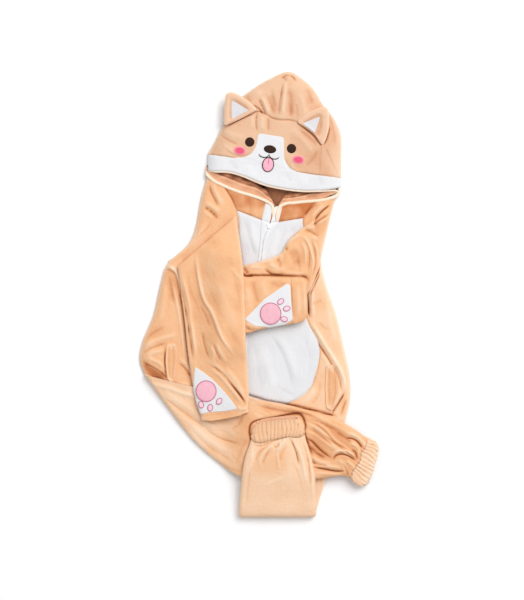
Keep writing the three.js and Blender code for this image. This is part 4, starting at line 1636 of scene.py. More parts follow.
    def crown(self, first: int, last: int) -> Surface:
        """Half of the crown: rays from the outline to the seam over the face.

        Args:
            first: First ray of the half.
            last: Last ray of the half.

        Returns:
            Grid of the half, one ray a column.
        """
        t = np.linspace(first, last, 14 * (last - first) + 1)[None] / (len(self.fan) - 1)
        u = unit(56)[:, None] ** 1.15
        a = column(self.fan, "outer_a", t) * (1 - u) + column(self.fan, "inner", t) * u
        b = column(self.fan, "outer_b", t) * (1 - u) + column(self.fan, "inner_b", t) * u
        made = self.surface(a, b, HOOD_RELIEF, 0.52)
        made.tone = made.tone + 0.3 * ramp(a, 104, 150) * (1 - ramp(b, 60, 110))
        return made

    def back(self) -> Surface:
        """The back of the hood, flat on the surface, its edge raised to meet the front.

        Returns:
            Grid of rings, facing down.
        """
        bottom = [(146, -54.5), (139, -68.5), (-116.5, -72.3), (-120, -65)]
        middle = np.array(self.middle)
        ring = even(np.concatenate([self.outline[:-1], bottom]), 4, True)
        a, b = rings(middle + 0.988 * (ring - middle), unit(28), middle)
        away = nearest(self.outline, a, b)[0]
        x, y = self.plan(a, b)
        wave = self.wave * np.maximum(1 + ripple(x, y, 60, 41), 0)
        z = FLOOR + wave * ramp(away, 2, 16) + self.raised * (1 - ramp(away, 0, 8))
        # painted shade inside the hood: the tone deepens away from its edge
        tone = 0.5 - 0.5 * ramp(away, 4, 14)
        return Surface(stacked(x, y, z), closed=True, disc=True, down=True, tone=tone)

    def brim_cord(self) -> Surface:
        """Corded edge of the brim: follows the hem, its ends bend down to the front neck.

        Returns:
            Grid of the cord.
        """
        a = np.linspace(-112, 128, 110)
        b = through(self.hem, a)
        z = self.surface(a[None], b[None], BRIM_RELIEF).points[0, :, 2] - self.cord_drop
        hem = stacked(*self.plan(a, b - 0.7), z)[4:-4:6]
        start = [(-107, 244, 9), (-102, 246, 10)]
        end = [(149, 207, 13), (156, 204, 10.5), (158, 200, 9.6)]
        path = spline(np.concatenate([start, hem, end]), unit(240))
        return piping(even(path, 1.8), *self.cord)

    def build(self, dresser: Dresser) -> Ground:
        """Makes and dresses the hood's cloth.

        Args:
            dresser: Takes the finished pieces.

        Returns:
            The ground that the hood gives to what lies on it.
        """
        done = dresser.finishes
        dresser.sheet("hood_back", self.back(), done.peach._replace(slot="lining"))
        pieces = {
            "hood_brim": (self.brim(), done.white),
            "hood_face": (self.face(), done.peach),
            "crown_right": (self.crown(0, self.centre_seam), done.peach),
            "crown_left": (self.crown(self.centre_seam, len(self.fan) - 1), done.peach),
        }
        for node, (surface, finish) in pieces.items():
            dresser.sheet(node, surface, finish, ["hood_back_cloth"])
        dresser.trim("brim_cord", self.brim_cord(), done.cream)
        return Ground(*(surface for surface, _ in pieces.values()))


class Opening(NamedTuple):
    """One side of the mouth: the two edges of its facing, its swell's seed, and its edging."""

    low: tuple[Point, ...]
    high: tuple[Point, ...]
    seed: int
    edge: tuple[tuple[float, float, float], ...]


@dataclass
class Mouth:
    """Inside of the hood's mouth: two facings, and the cream edging along the front neck."""

    right: Opening = Opening(
        ((-106, 243), (-76, 219), (-12, 196), (30, 177)),
        ((-106, 259), (-68, 261), (-20, 243), (8, 217)),
        62,
        ((-108, 247, 9), (-104, 237, 10.5), (-94, 228, 12), (-76, 219, 12.8), (-56, 210, 12.8),
         (-36, 203, 12.8), (-12, 196, 13), (8, 189, 13.4), (20, 181, 14.4), (26, 171, 15),
         (26, 153, 14.6)),
    )
    left: Opening = Opening(
        ((36, 177), (68, 183), (112, 188), (152, 203)),
        ((62, 215), (86, 217), (116, 223), (150, 227)),
        61,
        ((158, 213, 8.5), (158, 203, 9.5), (150, 195, 11.5), (134, 190, 12.6), (112, 187, 12.8),
         (90, 185, 12.8), (68, 183, 13), (52, 181, 13.4), (40, 175, 14.6), (35, 163, 15),
         (33, 145, 14.6)),
    )

    top: float = 11.2  # height of a facing's lower edge
    fall: float = 4.0  # how far it slopes down under the brim
    swell: float = 2.2  # how far it swells on the way
    hem: float = 0.9  # height of the fold along it
    cord: Point = (6.6, 5.8)  # width and height of the neck's edging

    def facing(self, part: Opening) -> Surface:
        """A strip of lining straight from its lower to its upper edge, sloping down under the brim.

        Args:
            part: Its side of the mouth.

        Returns:
            Grid of the strip.
        """
        v = unit(22)[None]
        a, b = (spline(line, unit(64))[:, None] for line in (part.low, part.high))
        p = a + (b - a) * v[..., None]
        x, y = p[..., 0], p[..., 1]
        folds = 0.8 * ripple(x, y, 20, part.seed) * np.sin(v * math.pi)
        along = v + 0.05 * ripple(x, y, 60, part.seed + 4)
        hem = bell(along - 0.42, 0.035) - 0.8 * bell(along - 0.34, 0.05)
        z = self.top - self.fall * v**1.3 + self.swell * np.sin(v * math.pi) ** 0.8
        z = z + folds - self.hem * hem
        # painted light: pale along the lower edge, painted shadow deepening under the brim, paler
        # on the swells and deeper in the hem's fold
        return Surface(stacked(x, y, z), tone=0.95 - 1.15 * v**1.2 + folds / 5 - 0.4 * hem)

    def edging(self, points: Sequence[tuple[float, float, float]]) -> Surface:
        """Corded edge of the neck, wavering a little.

        Args:
            points: Points of its middle line, heights last.

        Returns:
            Grid of the cord.
        """
        path = even(spline(points, unit(160)), 1.8)
        path[:, 2] += 0.3 * ripple(path[:, 0], path[:, 1], 26, 71)
        path[:, 1] += 0.5 * ripple(path[:, 0], path[:, 1], 34, 72)
        return piping(path, *self.cord, 14)

    def build(self, dresser: Dresser) -> None:
        """Makes the facings and the edging.

        Args:
            dresser: Takes the finished pieces.
        """
        done = dresser.finishes
        sides = {"right": self.right, "left": self.left}
        for side, part in sides.items():
            lining = self.facing(part)
            dresser.sheet(f"facing_{side}", lining, done.lining, ["hood_back_cloth"], lined=False)
        for side, part in sides.items():
            edging = self.edging(part.edge)
            dresser.trim(f"neck_edging_{side}", edging, done.cream, f"neck_edge_{side}")


@dataclass
class Ear:
    """A flat stuffed ear lying on the hood, with a white inner piece."""

    side: str
    outer: tuple[Point, ...]
    inner: tuple[Point, ...]
    rest: float = 22.5  # height of its underside
    loft: float = 6.4
    corner: float = 9.0  # how far from its corners their rounding starts
    inner_corner: float = 5.0
    profile: tuple[Point, ...] = (
        (0, 0.5), (0.2, 0.5), (0.4, 0.5), (0.48, 0.54), (0.57, 0.76), (0.66, 0.94), (0.75, 1),
        (0.84, 0.97), (0.92, 0.84), (0.98, 0.62), (1, 0.38), (0.98, 0.14), (0.93, 0.02), (0.7, 0),
        (0.35, 0), (0, 0),
    )

    def build(self, dresser: Dresser) -> None:
        """Makes the cover, its rings on the profile from top to underside, and the inner piece.

        Args:
            dresser: Takes the finished pieces.
        """
        done = dresser.finishes
        fine = spline(self.profile, unit(44))
        r, high = np.clip(fine[:, 0], 0, 1), fine[:, 1:]
        x, y = rings(rounded(self.outer, self.corner, 1.8), r, np.mean(self.inner, 0))
        wave = 0.35 * ripple(x, y, 22, 81)
        # painted sheen on the outer slope of the rim and a painted highlight on its top, which make
        # the tone paler there
        rim = 0.55 * ramp(r, 0.86, 1)[:, None] + 0.25 * ramp(high, 0.6, 1)
        z = self.rest + self.loft * high + wave * (high > 0.3)
        cover = Surface(stacked(x, y, z), closed=True)
        cover.tone = 0.34 + rim + 0.05 * wave
        name = f"ear_{self.side}"
        dresser.trim(f"{name}_cover", cover, done.peach, name)
        outline = rounded(self.inner, self.inner_corner, 1.6)
        inner = lying(outline, Ground(cover), 0.5, 0.3, tone=0.15, rimmed=False)
        rests = [f"{name}_cover"]
        dresser.sheet(f"ear_inner_{self.side}", inner, done.white, rests, lined=False)


class Spot(NamedTuple):
    """An oval on the face: its middle, from the middle line, and its radii."""

    a: float
    b: float
    rx: float
    ry: float


@dataclass
class Face:
    """A plain sewn animal face about one middle line."""

    hood: Hood
    middle: float = -4.0  # where its middle line runs
    nose: Spot = Spot(0, -1, 12.5, 8)
    tongue: Spot = Spot(1, -32, 11, 14)
    eye: Spot = Spot(42, 7, 9.5, 9.5)
    cheek: Spot = Spot(59, -13, 12.5, 8.5)
    smile: Point = (10, 7)  # half width and height of each curve of the mouth
    blaze: tuple[Point, ...] = (
        (-28, 27), (24, 27), (27, 4), (31, -16), (42, -30), (62, -38), (58, -46), (0, -60),
        (-60, -44), (-68, -28), (-48, -25), (-34, -14), (-28, 2),
    )

    def on_hood(self, points: Any) -> Array:
        """Plan positions of points given about the face's middle line."""
        a, b = np.asarray(points, float).T
        return stacked(*self.hood.plan(self.middle + a, b))

    def spot(self, part: Spot, sign: float = 1.0) -> Array:
        """Outline of an oval on the face, mirrored to the wearer's right where the sign is -1."""
        middle = self.on_hood([(sign * part.a, part.b)])[0]
        return oval(middle, part.rx, part.ry, self.hood.tilt, 1.3)

    def blaze_patch(self, hood: Ground) -> Surface:
        """The white blaze, sunk a little where it crosses the brim.

        Args:
            hood: What it lies on.

        Returns:
            Grid of the blaze.
        """
        outline = rounded(self.on_hood(self.blaze), 7, 1.8)
        made = lying(outline, hood, 0.7, 0.2, 0.7, tone=0.6, rimmed=False)
        x, y = (made.points[..., :2] - self.hood.at).transpose(2, 0, 1)
        a, b = turned(x, y, -self.hood.tilt)
        below = self.hood.brim_top(a) - b
        made.points[..., 2] -= 0.6 * ramp(below, -8, 0) + 1.9 * ramp(below, 0, 26)
        return made

    def build(self, dresser: Dresser, hood: Ground) -> None:
        """Makes and dresses all pieces of the face.

        Args:
            dresser: Takes the finished pieces.
            hood: What they lie on.
        """
        done = dresser.finishes
        blaze = self.blaze_patch(hood)
        ground = Ground(blaze)
        tongue = self.spot(self.tongue)
        nose = lying(self.spot(self.nose), ground, 1, 0.9, pitch=1.5)
        patch = lying(tongue, ground, 0.9, 0.5, pitch=1.5, rimmed=False)
        rim = stitched_line(tongue, ground, 1.7, 1.5, 1, True)
        line = self.on_hood([(1, -19), (1, -25), (1, -32)])
        middle = stitched_line(line, ground, 1.3, 1.5, 1.6, False)
        parts = [
            dresser.trim("nose_stitching", nose, done.brown, "nose", True),
            dresser.trim("tongue_patch", patch, done.tongue, "tongue", True),
            dresser.trim("tongue_outline", rim, done.brown),
            dresser.trim("tongue_crease", middle, done.dark_pink),
        ]
        angle = np.radians(np.linspace(8, -172, 22))
        for side, sign in SIDES:
            across = sign * (10.5 - self.smile[0] * np.cos(angle))
            high = self.smile[1] * np.sin(angle) - 12
            arc = self.on_hood(stacked(across, high))
            line = stitched_line(arc, ground, 1.8, 1.5, 0.9, False)
            parts.append(dresser.trim(f"mouth_line_{side}", line, done.brown))
        dresser.sheet("face_blaze", blaze, done.white, ["hood_face_cloth"], lined=False, sewn=parts)
        for side, sign in SIDES:
            eye = lying(self.spot(self.eye, sign), hood, 0.9, 0.9, pitch=1.4)
            dresser.trim(f"eye_{side}_stitching", eye, done.brown, f"eye_{side}", True)
            cheek = lying(self.spot(self.cheek, sign), hood, 0.7, 0.5, pitch=1.4)
            cheek.mark = ramp(unit(len(cheek.points))[:, None], 0.45, 0.75)
            dresser.trim(f"cheek_{side}_patch", cheek, done.rose, f"cheek_{side}", True)


# ---- sleeves and legs


class TubeRow(NamedTuple):
    """One section of a flattened tube: its two edges in plan, its underside, loft and lean."""

    ax: float
    ay: float
    bx: float
    by: float
    z: float = 0.0
    loft: float = 9.6
    lean: float = 0.0


@dataclass
class Tube:
    """A sleeve or leg lying flat, open at both ends, that may double back on itself."""

    name: str
    rows: tuple[TubeRow, ...]
    under: Relief  # folds where it isn't folded over
    cuff: str
    wrist: float  # where the cuff's seam runs, from 0 to 1
    rests_on: tuple[str, ...]
    over: Relief = Relief()  # folds beyond the fold-over
    held: str = "laid"
    room: float = 0.0008  # gap between the tube and its cuff, as a share of the rows
    bed: Callable[[Array, Array], Array] | None = None  # height of what lies below
    covered: tuple[Array, ...] = ()  # outlines under which it has no folds
    edge: float = 8.5  # reach of the rounded edges
    puff: float = 1.6  # extra height in the middle
    plump: float = 1.15  # how much thicker than its table
    pitch: float = 1.9
    detail: tuple[float, float] = (1.0, 0.5)  # points on its upper and lower flat, as shares
    base: float = 0.5  # tone of its flat parts
    ribs: float = 0.0  # height of the gathers at its elastic
    rib: float = 7.6  # millimetres between two of them
    gathered: float = 22.0  # how far they reach from the cuff into the tube
    bulge: float = 0.05  # how much wider the cuff is in its middle, as a share
    draw: float = 0.11  # how much narrower it is at its end
    rim: float = 0.4  # how much paler its edges are: painted sheen
    fade: float = 0.0  # how much deeper its end is than its start
    band: float = 0.0  # how much paler the cuff is
    fray: float = 0.0  # unevenness of the cuff's end, millimetres
    mouth: float = 0.0  # how far the cuff's upper side draws back
    sag: float = 0.0  # how far the middle of its start reaches down
    tints: tuple[Fold, ...] = ()  # places of another tone
    wander: tuple[Point, ...] = ((-1, 0), (1, 0))  # run of the cuff's seam

    def at(self, names: str, t: Array) -> Array:
        """Columns of the table at t, from 0 to 1, as the last axis."""
        return stacked(*(column(self.rows, name, t) for name in names.split()))

    def outline(self, start: float, end: float) -> Array:
        """Outline in plan of a stretch of the tube."""
        t = np.linspace(start, end, 24)
        return np.concatenate([self.at("ax ay", t), self.at("bx by", t)[::-1]])

    def section(self, width: float, pitch: float) -> tuple[Array, Array, Array]:
        """Section of the tube: two flats joined by rounded edges.

        Args:
            width: Greatest width of the stretch.
            pitch: Spacing of the points.

        Returns:
            Shares of the flat's half width and of the rounded edge's reach, and height, -1 to 1.
        """
        upper, lower = (np.linspace(-1, 1, int(share * width / pitch)) for share in self.detail)
        turn = np.radians(np.linspace(90, -90, 13)[1:-1])
        flat = np.concatenate([upper, np.ones(11), lower[::-1], -np.ones(11)])[None]
        round_edge = np.concatenate([0 * upper, np.cos(turn), 0 * lower, -np.cos(turn)])[None]
        high = np.concatenate([0 * upper + 1, np.sin(turn), 0 * lower - 1, np.sin(-turn)])[None]
        return flat, round_edge, high

    def folded(self, x: Array, y: Array, lean: Array) -> Array:
        """Folds of the tube: one table up to the fold-over, another beyond, none where covered.

        Args:
            x, y: Plan positions, millimetres.
            lean: How far each section is turned over, degrees.

        Returns:
            Heights in millimetres.
        """
        over = ramp(lean, 70, 110)
        free = np.ones(x.shape)
        for outline in self.covered:
            free *= 1 - ramp(within(outline, x, y), -2, 9)
        return self.under.at(x, y) * (1 - over) * free + self.over.at(x, y) * over

    def gathers(self, side: Array, t: Array) -> tuple[Array, Array]:
        """Gathers of the elastic: the root of a sine, round on top and sharp below, uneven.

        Args:
            side: Places across the tube, millimetres.
            t: Rows, from 0 to 1.

        Returns:
            Heights in millimetres, and how deep in a valley each point is, from 0 to 1.
        """
        step = side / self.rib + 0.22 * ripple(side, side * 0 + t * 250, 40, 91)
        uneven = 0.75 + 0.4 * ripple(side, side * 0 + t * 400, 22, 92)
        wave = np.sin(math.pi * step)
        return self.ribs * (1.6 * np.sqrt(np.abs(wave)) - 0.8) * uneven, uneven * bell(wave, 0.3)

    def cuff_width(self, along: Array) -> Array:
        """Width of the cuff: a bulge in the middle, drawn in at its end, a little uneven.

        Args:
            along: Places from its seam, 0, to its end, 1.

        Returns:
            Shares of the tube's width.
        """
        drawn = self.draw * ramp(along, 0.55, 1) ** 2
        uneven = 1 + 0.012 * ripple(along * 40, along, 12, 93)
        return (1 + self.bulge * np.sin(math.pi * along**0.8) - drawn) * uneven

    def cuff_shift(self, along: Array, side: Array, spread: Array, up: Array) -> Array:
        """Shape of the cuff's end: its upper side drawn back, its corners rounded, its edge uneven.

        Args:
            along: Places from its seam, 0, to its end, 1.
            side: Places across it, millimetres.
            spread: The same from -1 to 1.
            up: How far each point faces up, from 0 to 1.

        Returns:
            How far each point moves towards the end, millimetres.
        """
        corner = 5 if self.ribs else 2
        back = self.mouth * up * ramp(along, 0.2, 1)
        back = back + corner * ramp(along, 0.4, 1) * np.abs(spread) ** 4
        return self.fray * ramp(along, 0.3, 1) * ripple(side, side * 0, 6, 94) - back

    def stretch(self, start: float, end: float, cuff: bool = False) -> Surface:
        """A length of the tube.

        Each section is carried along the rows, leaned back where the tube folds over, set on the
        bed, and given its folds where it faces up. The seam of the cuff wanders to and fro by a
        table, and the cuff's end is rounded off.

        Args:
            start: Row where it begins, from 0 to 1.
            end: Row where it ends.
            cuff: Whether it is the gathered band at the end.

        Returns:
            Grid of sections.
        """
        edge = self.at("ax ay z", np.linspace(start, end, 40))
        length = np.linalg.norm(np.diff(edge, axis=0), axis=1).sum()
        pitch = 1.6 if cuff else self.pitch
        t = np.linspace(start, end, max(10, int(length / pitch / ROWS_APART)))
        a, b = self.at("ax ay", t), self.at("bx by", t)
        low, thick, lean = self.at("z loft lean", t).T[..., None]
        t = t[:, None]
        along = unit(len(t))[:, None]
        width = np.linalg.norm(b - a, axis=1)[:, None]
        across = (b - a) / width
        loft = thick * self.plump
        lean = np.radians(np.clip(lean, 0, 180))
        flat, round_edge, s = self.section(width.max(), pitch)
        edge = np.minimum(self.edge, width * 0.3)
        width = width * self.cuff_width(along) if cuff else width
        side = flat * (width / 2 - edge) + round_edge * edge
        lift = s * loft / 2
        middle = (a + b) / 2
        x = middle[:, :1] + across[:, :1] * side - across[:, 1:] * np.sin(lean) * lift
        y = middle[:, 1:] + across[:, 1:] * side + across[:, :1] * np.sin(lean) * lift
        rise = np.cos(lean) * lift
        z = low + thick / 2 + (loft - thick) / 2 + rise
        up = np.clip(rise / (loft / 2), 0, 1) ** 1.5
        folds = self.folded(x, y, np.degrees(lean))
        if self.ribs:
            ribs, valleys = self.gathers(side, t)
            near_cuff = ramp(t, end - self.gathered * (end - start) / length, end)
            folds = folds * 0.2 + ribs if cuff else folds + 0.8 * ribs * near_cuff
        spread = 2 * side / width
        swell = self.puff * (1 - (side / (width / 2)) ** 2) * up
        z = np.maximum(z + folds * up + swell, 0.02)
        if self.bed is not None:
            z = z + self.bed(x, y)
        from_seam = (t - self.wrist) * length / (end - start)
        shift = through(self.wander, spread, 80) * bell(from_seam, 14)
        if cuff:
            shift = shift + self.cuff_shift(along, side, spread, up)
            z = z + 1.2 * up * bell(1 - along, 0.13)
            z = z - (1.8 if self.ribs else 0.4) * up * bell(along, 0.12)
        else:
            shift = shift + self.sag * (1 - spread**2) * np.exp(-(((t - start) * 9) ** 2))
        way = np.gradient(middle, axis=0)
        way = way / np.linalg.norm(way, axis=1)[:, None]
        tone = shade(folds * up, self.base - self.fade * (t - 0.35))
        # painted sheen: paler along the edges, where the tube turns down
        tone = tone + self.rim * (1 - up) * (s > -0.2)
        x, y = x + way[:, :1] * shift, y + way[:, 1:] * shift
        for tint in self.tints:
            tone = tone + tint.at(x, y)
        mark = crease(folds * up)
        if cuff and self.ribs:
            tone = tone + self.band + 0.1 * self.fray * ramp(along, 0.4, 1)
            # painted shadow in the valleys of the gathers and along the cuff's seam
            mark = mark + up * (0.38 * valleys + 0.45 * bell(along, 0.05))
        return Surface(stacked(x, y, z), closed=True, tone=tone, mark=mark)


SLEEVE_RIGHT_RELIEF = Relief((
    # doubled edge on the outer side
    (1.7, -3.9, -164, 37, -153, -7, -145, -51, -138, -95, -132, -139),
    (2.2, 3.6, -158, 41, -147, 9, -139, -35, -132, -87, -126, -135),
    (2, 3, -170, 37, -160, -11, -152, -59, -145, -107, -138, -155),
    (1.8, -2, -148, -3, -140, -31, -134, -67),
    # long ridge down the arm
    lip(4, 2.8, -132, 89, -126, 39, -116, -7, -98, -39, -78, -87, -48, -127),
    (2.4, 1.9, -128, 89, -122, 37, -112, -7, -94, -37, -74, -87, -42, -133),
    (6, -1, -146, 53, -140, 13, -126, -23, -112, -55),
    (3, -1.8, -122, -19, -108, -43, -100, -67),
    (7, -0.8, -104, 21, -84, -27, -52, -83, -30, -115),
    (6, 1.1, -92, 53, -72, -7, -40, -71),
    (6, -0.8, -64, 89, -50, 29, -36, -31),
    (3, 1.5, -60, 57, -44, 37, -32, 29),
    # the turned corner over the patch
    lip(4, 5, -108, -135, -88, -145, -72, -163, -52, -183, -36, -203, -24, -225),
    (2.2, -4.6, -96, -139, -76, -155, -52, -183, -34, -207, -26, -223),
    (3.4, 3.4, -104, -145, -82, -159, -60, -183, -40, -209, -32, -225),
    (3.4, 2.2, -72, -143, -48, -171, -28, -203),
    (2.6, 2, -98, -101, -92, -119, -96, -135),
    (2.2, -2.4, -94, -95, -86, -115, -76, -135),
    (2.6, 2.2, -88, -95, -78, -117, -64, -135),
    (3.4, -2.4, -116, -71, -110, -103, -100, -131),
    (3, 2.4, -48, -221, -36, -227, -22, -223),
), swell=0.35, size=42, seed=21, grain=0.11, way=-66)
SLEEVE_LEFT_RELIEF = Relief((
    # the shoulder
    (1.8, -2.8, 86, 129, 100, 125, 116, 115),
    (3, 3, 88, 137, 104, 133, 124, 141),
    (3, 2.2, 100, 117, 116, 109, 130, 113),
    # the bulge at the elbow
    (3, 3.2, 38, 85, 48, 99, 64, 111, 84, 121),
    (2.2, 3.4, 80, 121, 92, 109, 102, 85, 106, 61, 100, 33),
    (1.6, -2.6, 84, 113, 96, 93, 98, 65, 94, 41),
    (1.9, 2.4, 82, 105, 90, 85, 90, 57),
    (1.8, -2.6, 98, 113, 108, 89, 110, 61, 102, 33),
    (2.4, 2.2, 106, 109, 114, 85, 114, 61),
    (3.4, -1.3, 72, 73, 78, 57, 78, 39),
    (2, -4.6, 42, 99, 50, 93, 56, 87),
    (2.6, 1.6, 32, 83, 42, 75, 40, 61),
    hollow(9, -1.5, 62, 93, 70, 73, 74, 53),
    # the strip above the forearm
    # a deep trough along the forearm's upper edge and round its end, which takes the painted shadow
    # colour of deep creases
    fold(1.9, -6, -38, 37, -8, 38, 24, 38, 60, 37, 86, 36, 95, 30, 98, 17, blunt=0.14),
    (2.4, -5, -36, 45, -26, 35, -12, 39),
    (2, -4, -34, 57, -28, 47, -22, 39),
    (3.4, 2.6, -24, 53, -6, 55, 12, 51),
    (2, -4.4, 8, 53, 20, 43, 32, 39, 48, 39),
    (3, 1.6, 16, 61, 36, 53, 52, 45),
    (2.2, -2.4, 32, 73, 40, 61, 36, 49),
    (3.4, 2.2, 48, 45, 64, 41, 86, 37),
    (3, 1.4, -4, 63, 16, 69, 36, 77),
    (2.2, 2.2, -28, 60, -4, 63, 18, 70, 38, 79, 42, 91, 58, 107, 80, 120),
), swell=0.4, size=34, seed=22, grain=0.3, way=-50)
FOREARM_LEFT_RELIEF = Relief((
    (5, -1.8, -16, 29, -8, -3, 0, -23),
    (5, 1.6, -28, 21, -20, -11, -20, -39),
    (5, 1.6, 4, 31, 8, 9, 16, -7),
    (3, 2, 86, 29, 88, -7, 90, -47),
    (2, -2, 64, 25, 64, -11, 68, -51),
    (5, -1.4, 20, 27, 36, 17, 54, 25),
    (2.2, -3, -32, -63, -16, -71, 4, -75),
    (3, 2.4, -32, -55, -12, -63, 8, -69),
    (3, 2, -32, -75, -12, -81, 4, -79),
    (3, 2, 76, 21, 76, -11, 76, -47),
), swell=0.35, size=40, seed=23, grain=0.15, way=-60)
LEG_RIGHT_RELIEF = Relief((
    # upper edge
    (6, -2.4, -16, -219, 40, -231, 90, -237, 130, -253),
    (3, 1.6, 100, -239, 130, -251, 180, -277),
    (3, -2, 80, -247, 120, -255, 160, -275),
    # folds running to the cuff
    lip(5, 6, 200, -329, 184, -317, 164, -305, 146, -293, 130, -275, 108, -259, 84, -251),
    (3, 3.4, 80, -245, 112, -255, 132, -269, 148, -289, 168, -303, 192, -321),
    (1.8, -4.6, 124, -275, 142, -291, 164, -307, 194, -329),
    (3, 2.6, 86, -271, 108, -277, 132, -295, 160, -315),
    (2.2, -4.2, 86, -285, 102, -291, 120, -309, 146, -329),
    (5, -3, 96, -299, 112, -315, 132, -327),
    (5, -3, 96, -263, 120, -281, 148, -303),
    (4, -2.4, 148, -271, 172, -287, 184, -303),
    (2.8, 2.6, 96, -315, 116, -331, 144, -337),
    (1.8, -3.2, 96, -327, 112, -337, 136, -341),
    # gathers by the cuff
    (1.7, -5.2, 168, -285, 184, -287, 196, -295, 204, -309),
    (2.8, 3.4, 166, -275, 186, -279, 202, -291, 214, -311),
    (2.4, 3, 172, -295, 188, -299, 196, -309, 194, -323),
    (1.7, -3, 180, -307, 190, -315, 192, -331),
    (1.7, -5.4, 146, -335, 148, -323, 160, -317, 176, -321, 194, -333),
    (2.6, 3.4, 140, -323, 154, -311, 172, -311, 192, -323),
    (2.4, 3, 154, -327, 164, -337, 172, -359),
    (2.4, 2.8, 170, -329, 180, -337, 192, -351),
    (1.6, -3.4, 162, -333, 170, -347, 176, -363),
    # lower edge
    (1.8, -5.2, 102, -343, 128, -347, 150, -351, 174, -351),
    (2.6, 2.6, 102, -337, 132, -341, 164, -345),
    (3, 2, 108, -355, 140, -357, 172, -363),
    # a deep trough round the folded leg that lies on it, which takes the painted shadow colour of
    # deep creases
    (
        1.9, -5.5, -44, -371, -36, -347, -28, -321, -18, -293, -21, -271, -13, -253, 28, -244,
        68, -237, 83, -241, 90, -259, 88, -275, 98, -303, 106, -327, 114, -359,
    ),
    # long folds on the wide part
    (4, 2.4, -228, -177, -188, -183, -160, -193, -124, -203),
    (6, 1.6, -200, -191, -150, -221, -96, -257, -40, -271),
    (2.8, -1.8, -200, -199, -164, -227, -128, -253, -88, -277),
    (6, 1.4, -184, -215, -140, -259, -92, -299, -40, -321),
    (2.6, -2, -114, -265, -80, -287, -36, -299),
    (7, -1.3, -156, -243, -108, -299, -40, -343),
    (3.4, -2, -126, -215, -106, -247, -76, -265),
    (3, -1.6, -104, -327, -68, -345, -32, -355),
    (4, 1.4, -96, -343, -64, -357, -34, -365),
    (3.4, -1.8, -34, -239, -44, -259, -62, -271),
    (5, -1.4, -24, -283, -40, -315, -48, -343),
), swell=0.5, size=55, seed=24, grain=0.14, way=-38)
LEG_LEFT_LOWER = Relief((
    (3, -1.6, 120, -359, 122, -387, 116, -411),
), swell=0.3, size=50, seed=25)
LEG_LEFT_RELIEF = Relief((
    (2.2, -2.4, -10, -337, -6, -321, 2, -309, 14, -301, 28, -295),
    (2.2, 2.6, -4, -343, 2, -323, 12, -307, 22, -300, 30, -309),
    (1.8, -2.6, 4, -339, 10, -323, 18, -311, 26, -311),
    (2.4, 1.6, -16, -303, -16, -327, -24, -359),
    (2.2, 2.6, 28, -311, 36, -307, 44, -297, 52, -289),
    (1.7, -2.8, 26, -299, 32, -303, 40, -295),
    (2.2, 1.8, 32, -311, 36, -327, 38, -351),
    (2.2, -2, 42, -335, 40, -321, 48, -307, 54, -297),
    (1.7, -4, 54, -287, 64, -297, 72, -315, 78, -343),
    (2.4, 2, 66, -291, 78, -311, 86, -339, 92, -379),
    (2, -2.8, 82, -287, 92, -315, 98, -351, 100, -387),
    (2.4, 1.6, 90, -291, 100, -323, 104, -363, 104, -407),
    (3, -0.9, 60, -327, 76, -359, 84, -395),
    (3, 1.2, 4, -383, 28, -371, 52, -359),
    (2.4, -1.4, -18, -335, -24, -375, -28, -423),
    (2, -2.8, -20, -297, 4, -297, 24, -291, 52, -285),
), swell=0.2, size=60, seed=26, grain=0.06, way=88)
LEG_STEP = 15.2  # how far the crossing leg climbs, millimetres
SLEEVE_LOFT = 8.6  # thickness of a sleeve lying flat
LAYER_ONE = 16.1  # height of the front, on which the sleeves lie


def leg_bed(x: Array, y: Array) -> Array:
    """The crossing leg climbs over the other leg and comes down again at its cuff."""
    del y
    return LEG_STEP * ramp(x, -80, -16) * (1 - 0.9 * ramp(x, 178, 240))


def sleeve_bed(x: Array, y: Array) -> Array:
    """The right sleeve climbs over the doubled left forearm, and over the hip at its end.

    Args:
        x, y: Plan positions, millimetres.

    Returns:
        Heights in millimetres.
    """
    elbow = ramp(x, -132, -68) * (1 - ramp(y, 70, 126)) * ramp(y, -172, -88)
    hip = ramp(x, -92, -20) * ramp(y, -128, -170)
    return elbow * (2 * SLEEVE_LOFT + 1.2) + hip * 10.5


RIGHT_SLEEVE = Tube(
    "sleeve_right",
    rows_of(
        TubeRow,
        (-164, 55, -48, 155, LAYER_ONE, 7.4),
        (-160, 29, -41, 113, LAYER_ONE, SLEEVE_LOFT),
        (-156, -5, -34, 57, LAYER_ONE, SLEEVE_LOFT),
        (-150, -51, -31, -11, LAYER_ONE, SLEEVE_LOFT),
        (-144, -111, -28, -91, LAYER_ONE, SLEEVE_LOFT),
        (-136, -167, -24, -161, LAYER_ONE, SLEEVE_LOFT),
        (-127, -214, -22, -209, LAYER_ONE, SLEEVE_LOFT),
        (-112, -254, -25, -237, LAYER_ONE, SLEEVE_LOFT),
    ),
    SLEEVE_RIGHT_RELIEF,
    cuff="cuff_right",
    wrist=6.62 / 7,
    rests_on=("front_right_cloth", "belly_right_cloth", "sleeve_left_cloth"),
    bed=sleeve_bed,
    puff=2,
)
DOUBLED = LAYER_ONE + SLEEVE_LOFT + 0.5  # height of the forearm folded back on its sleeve
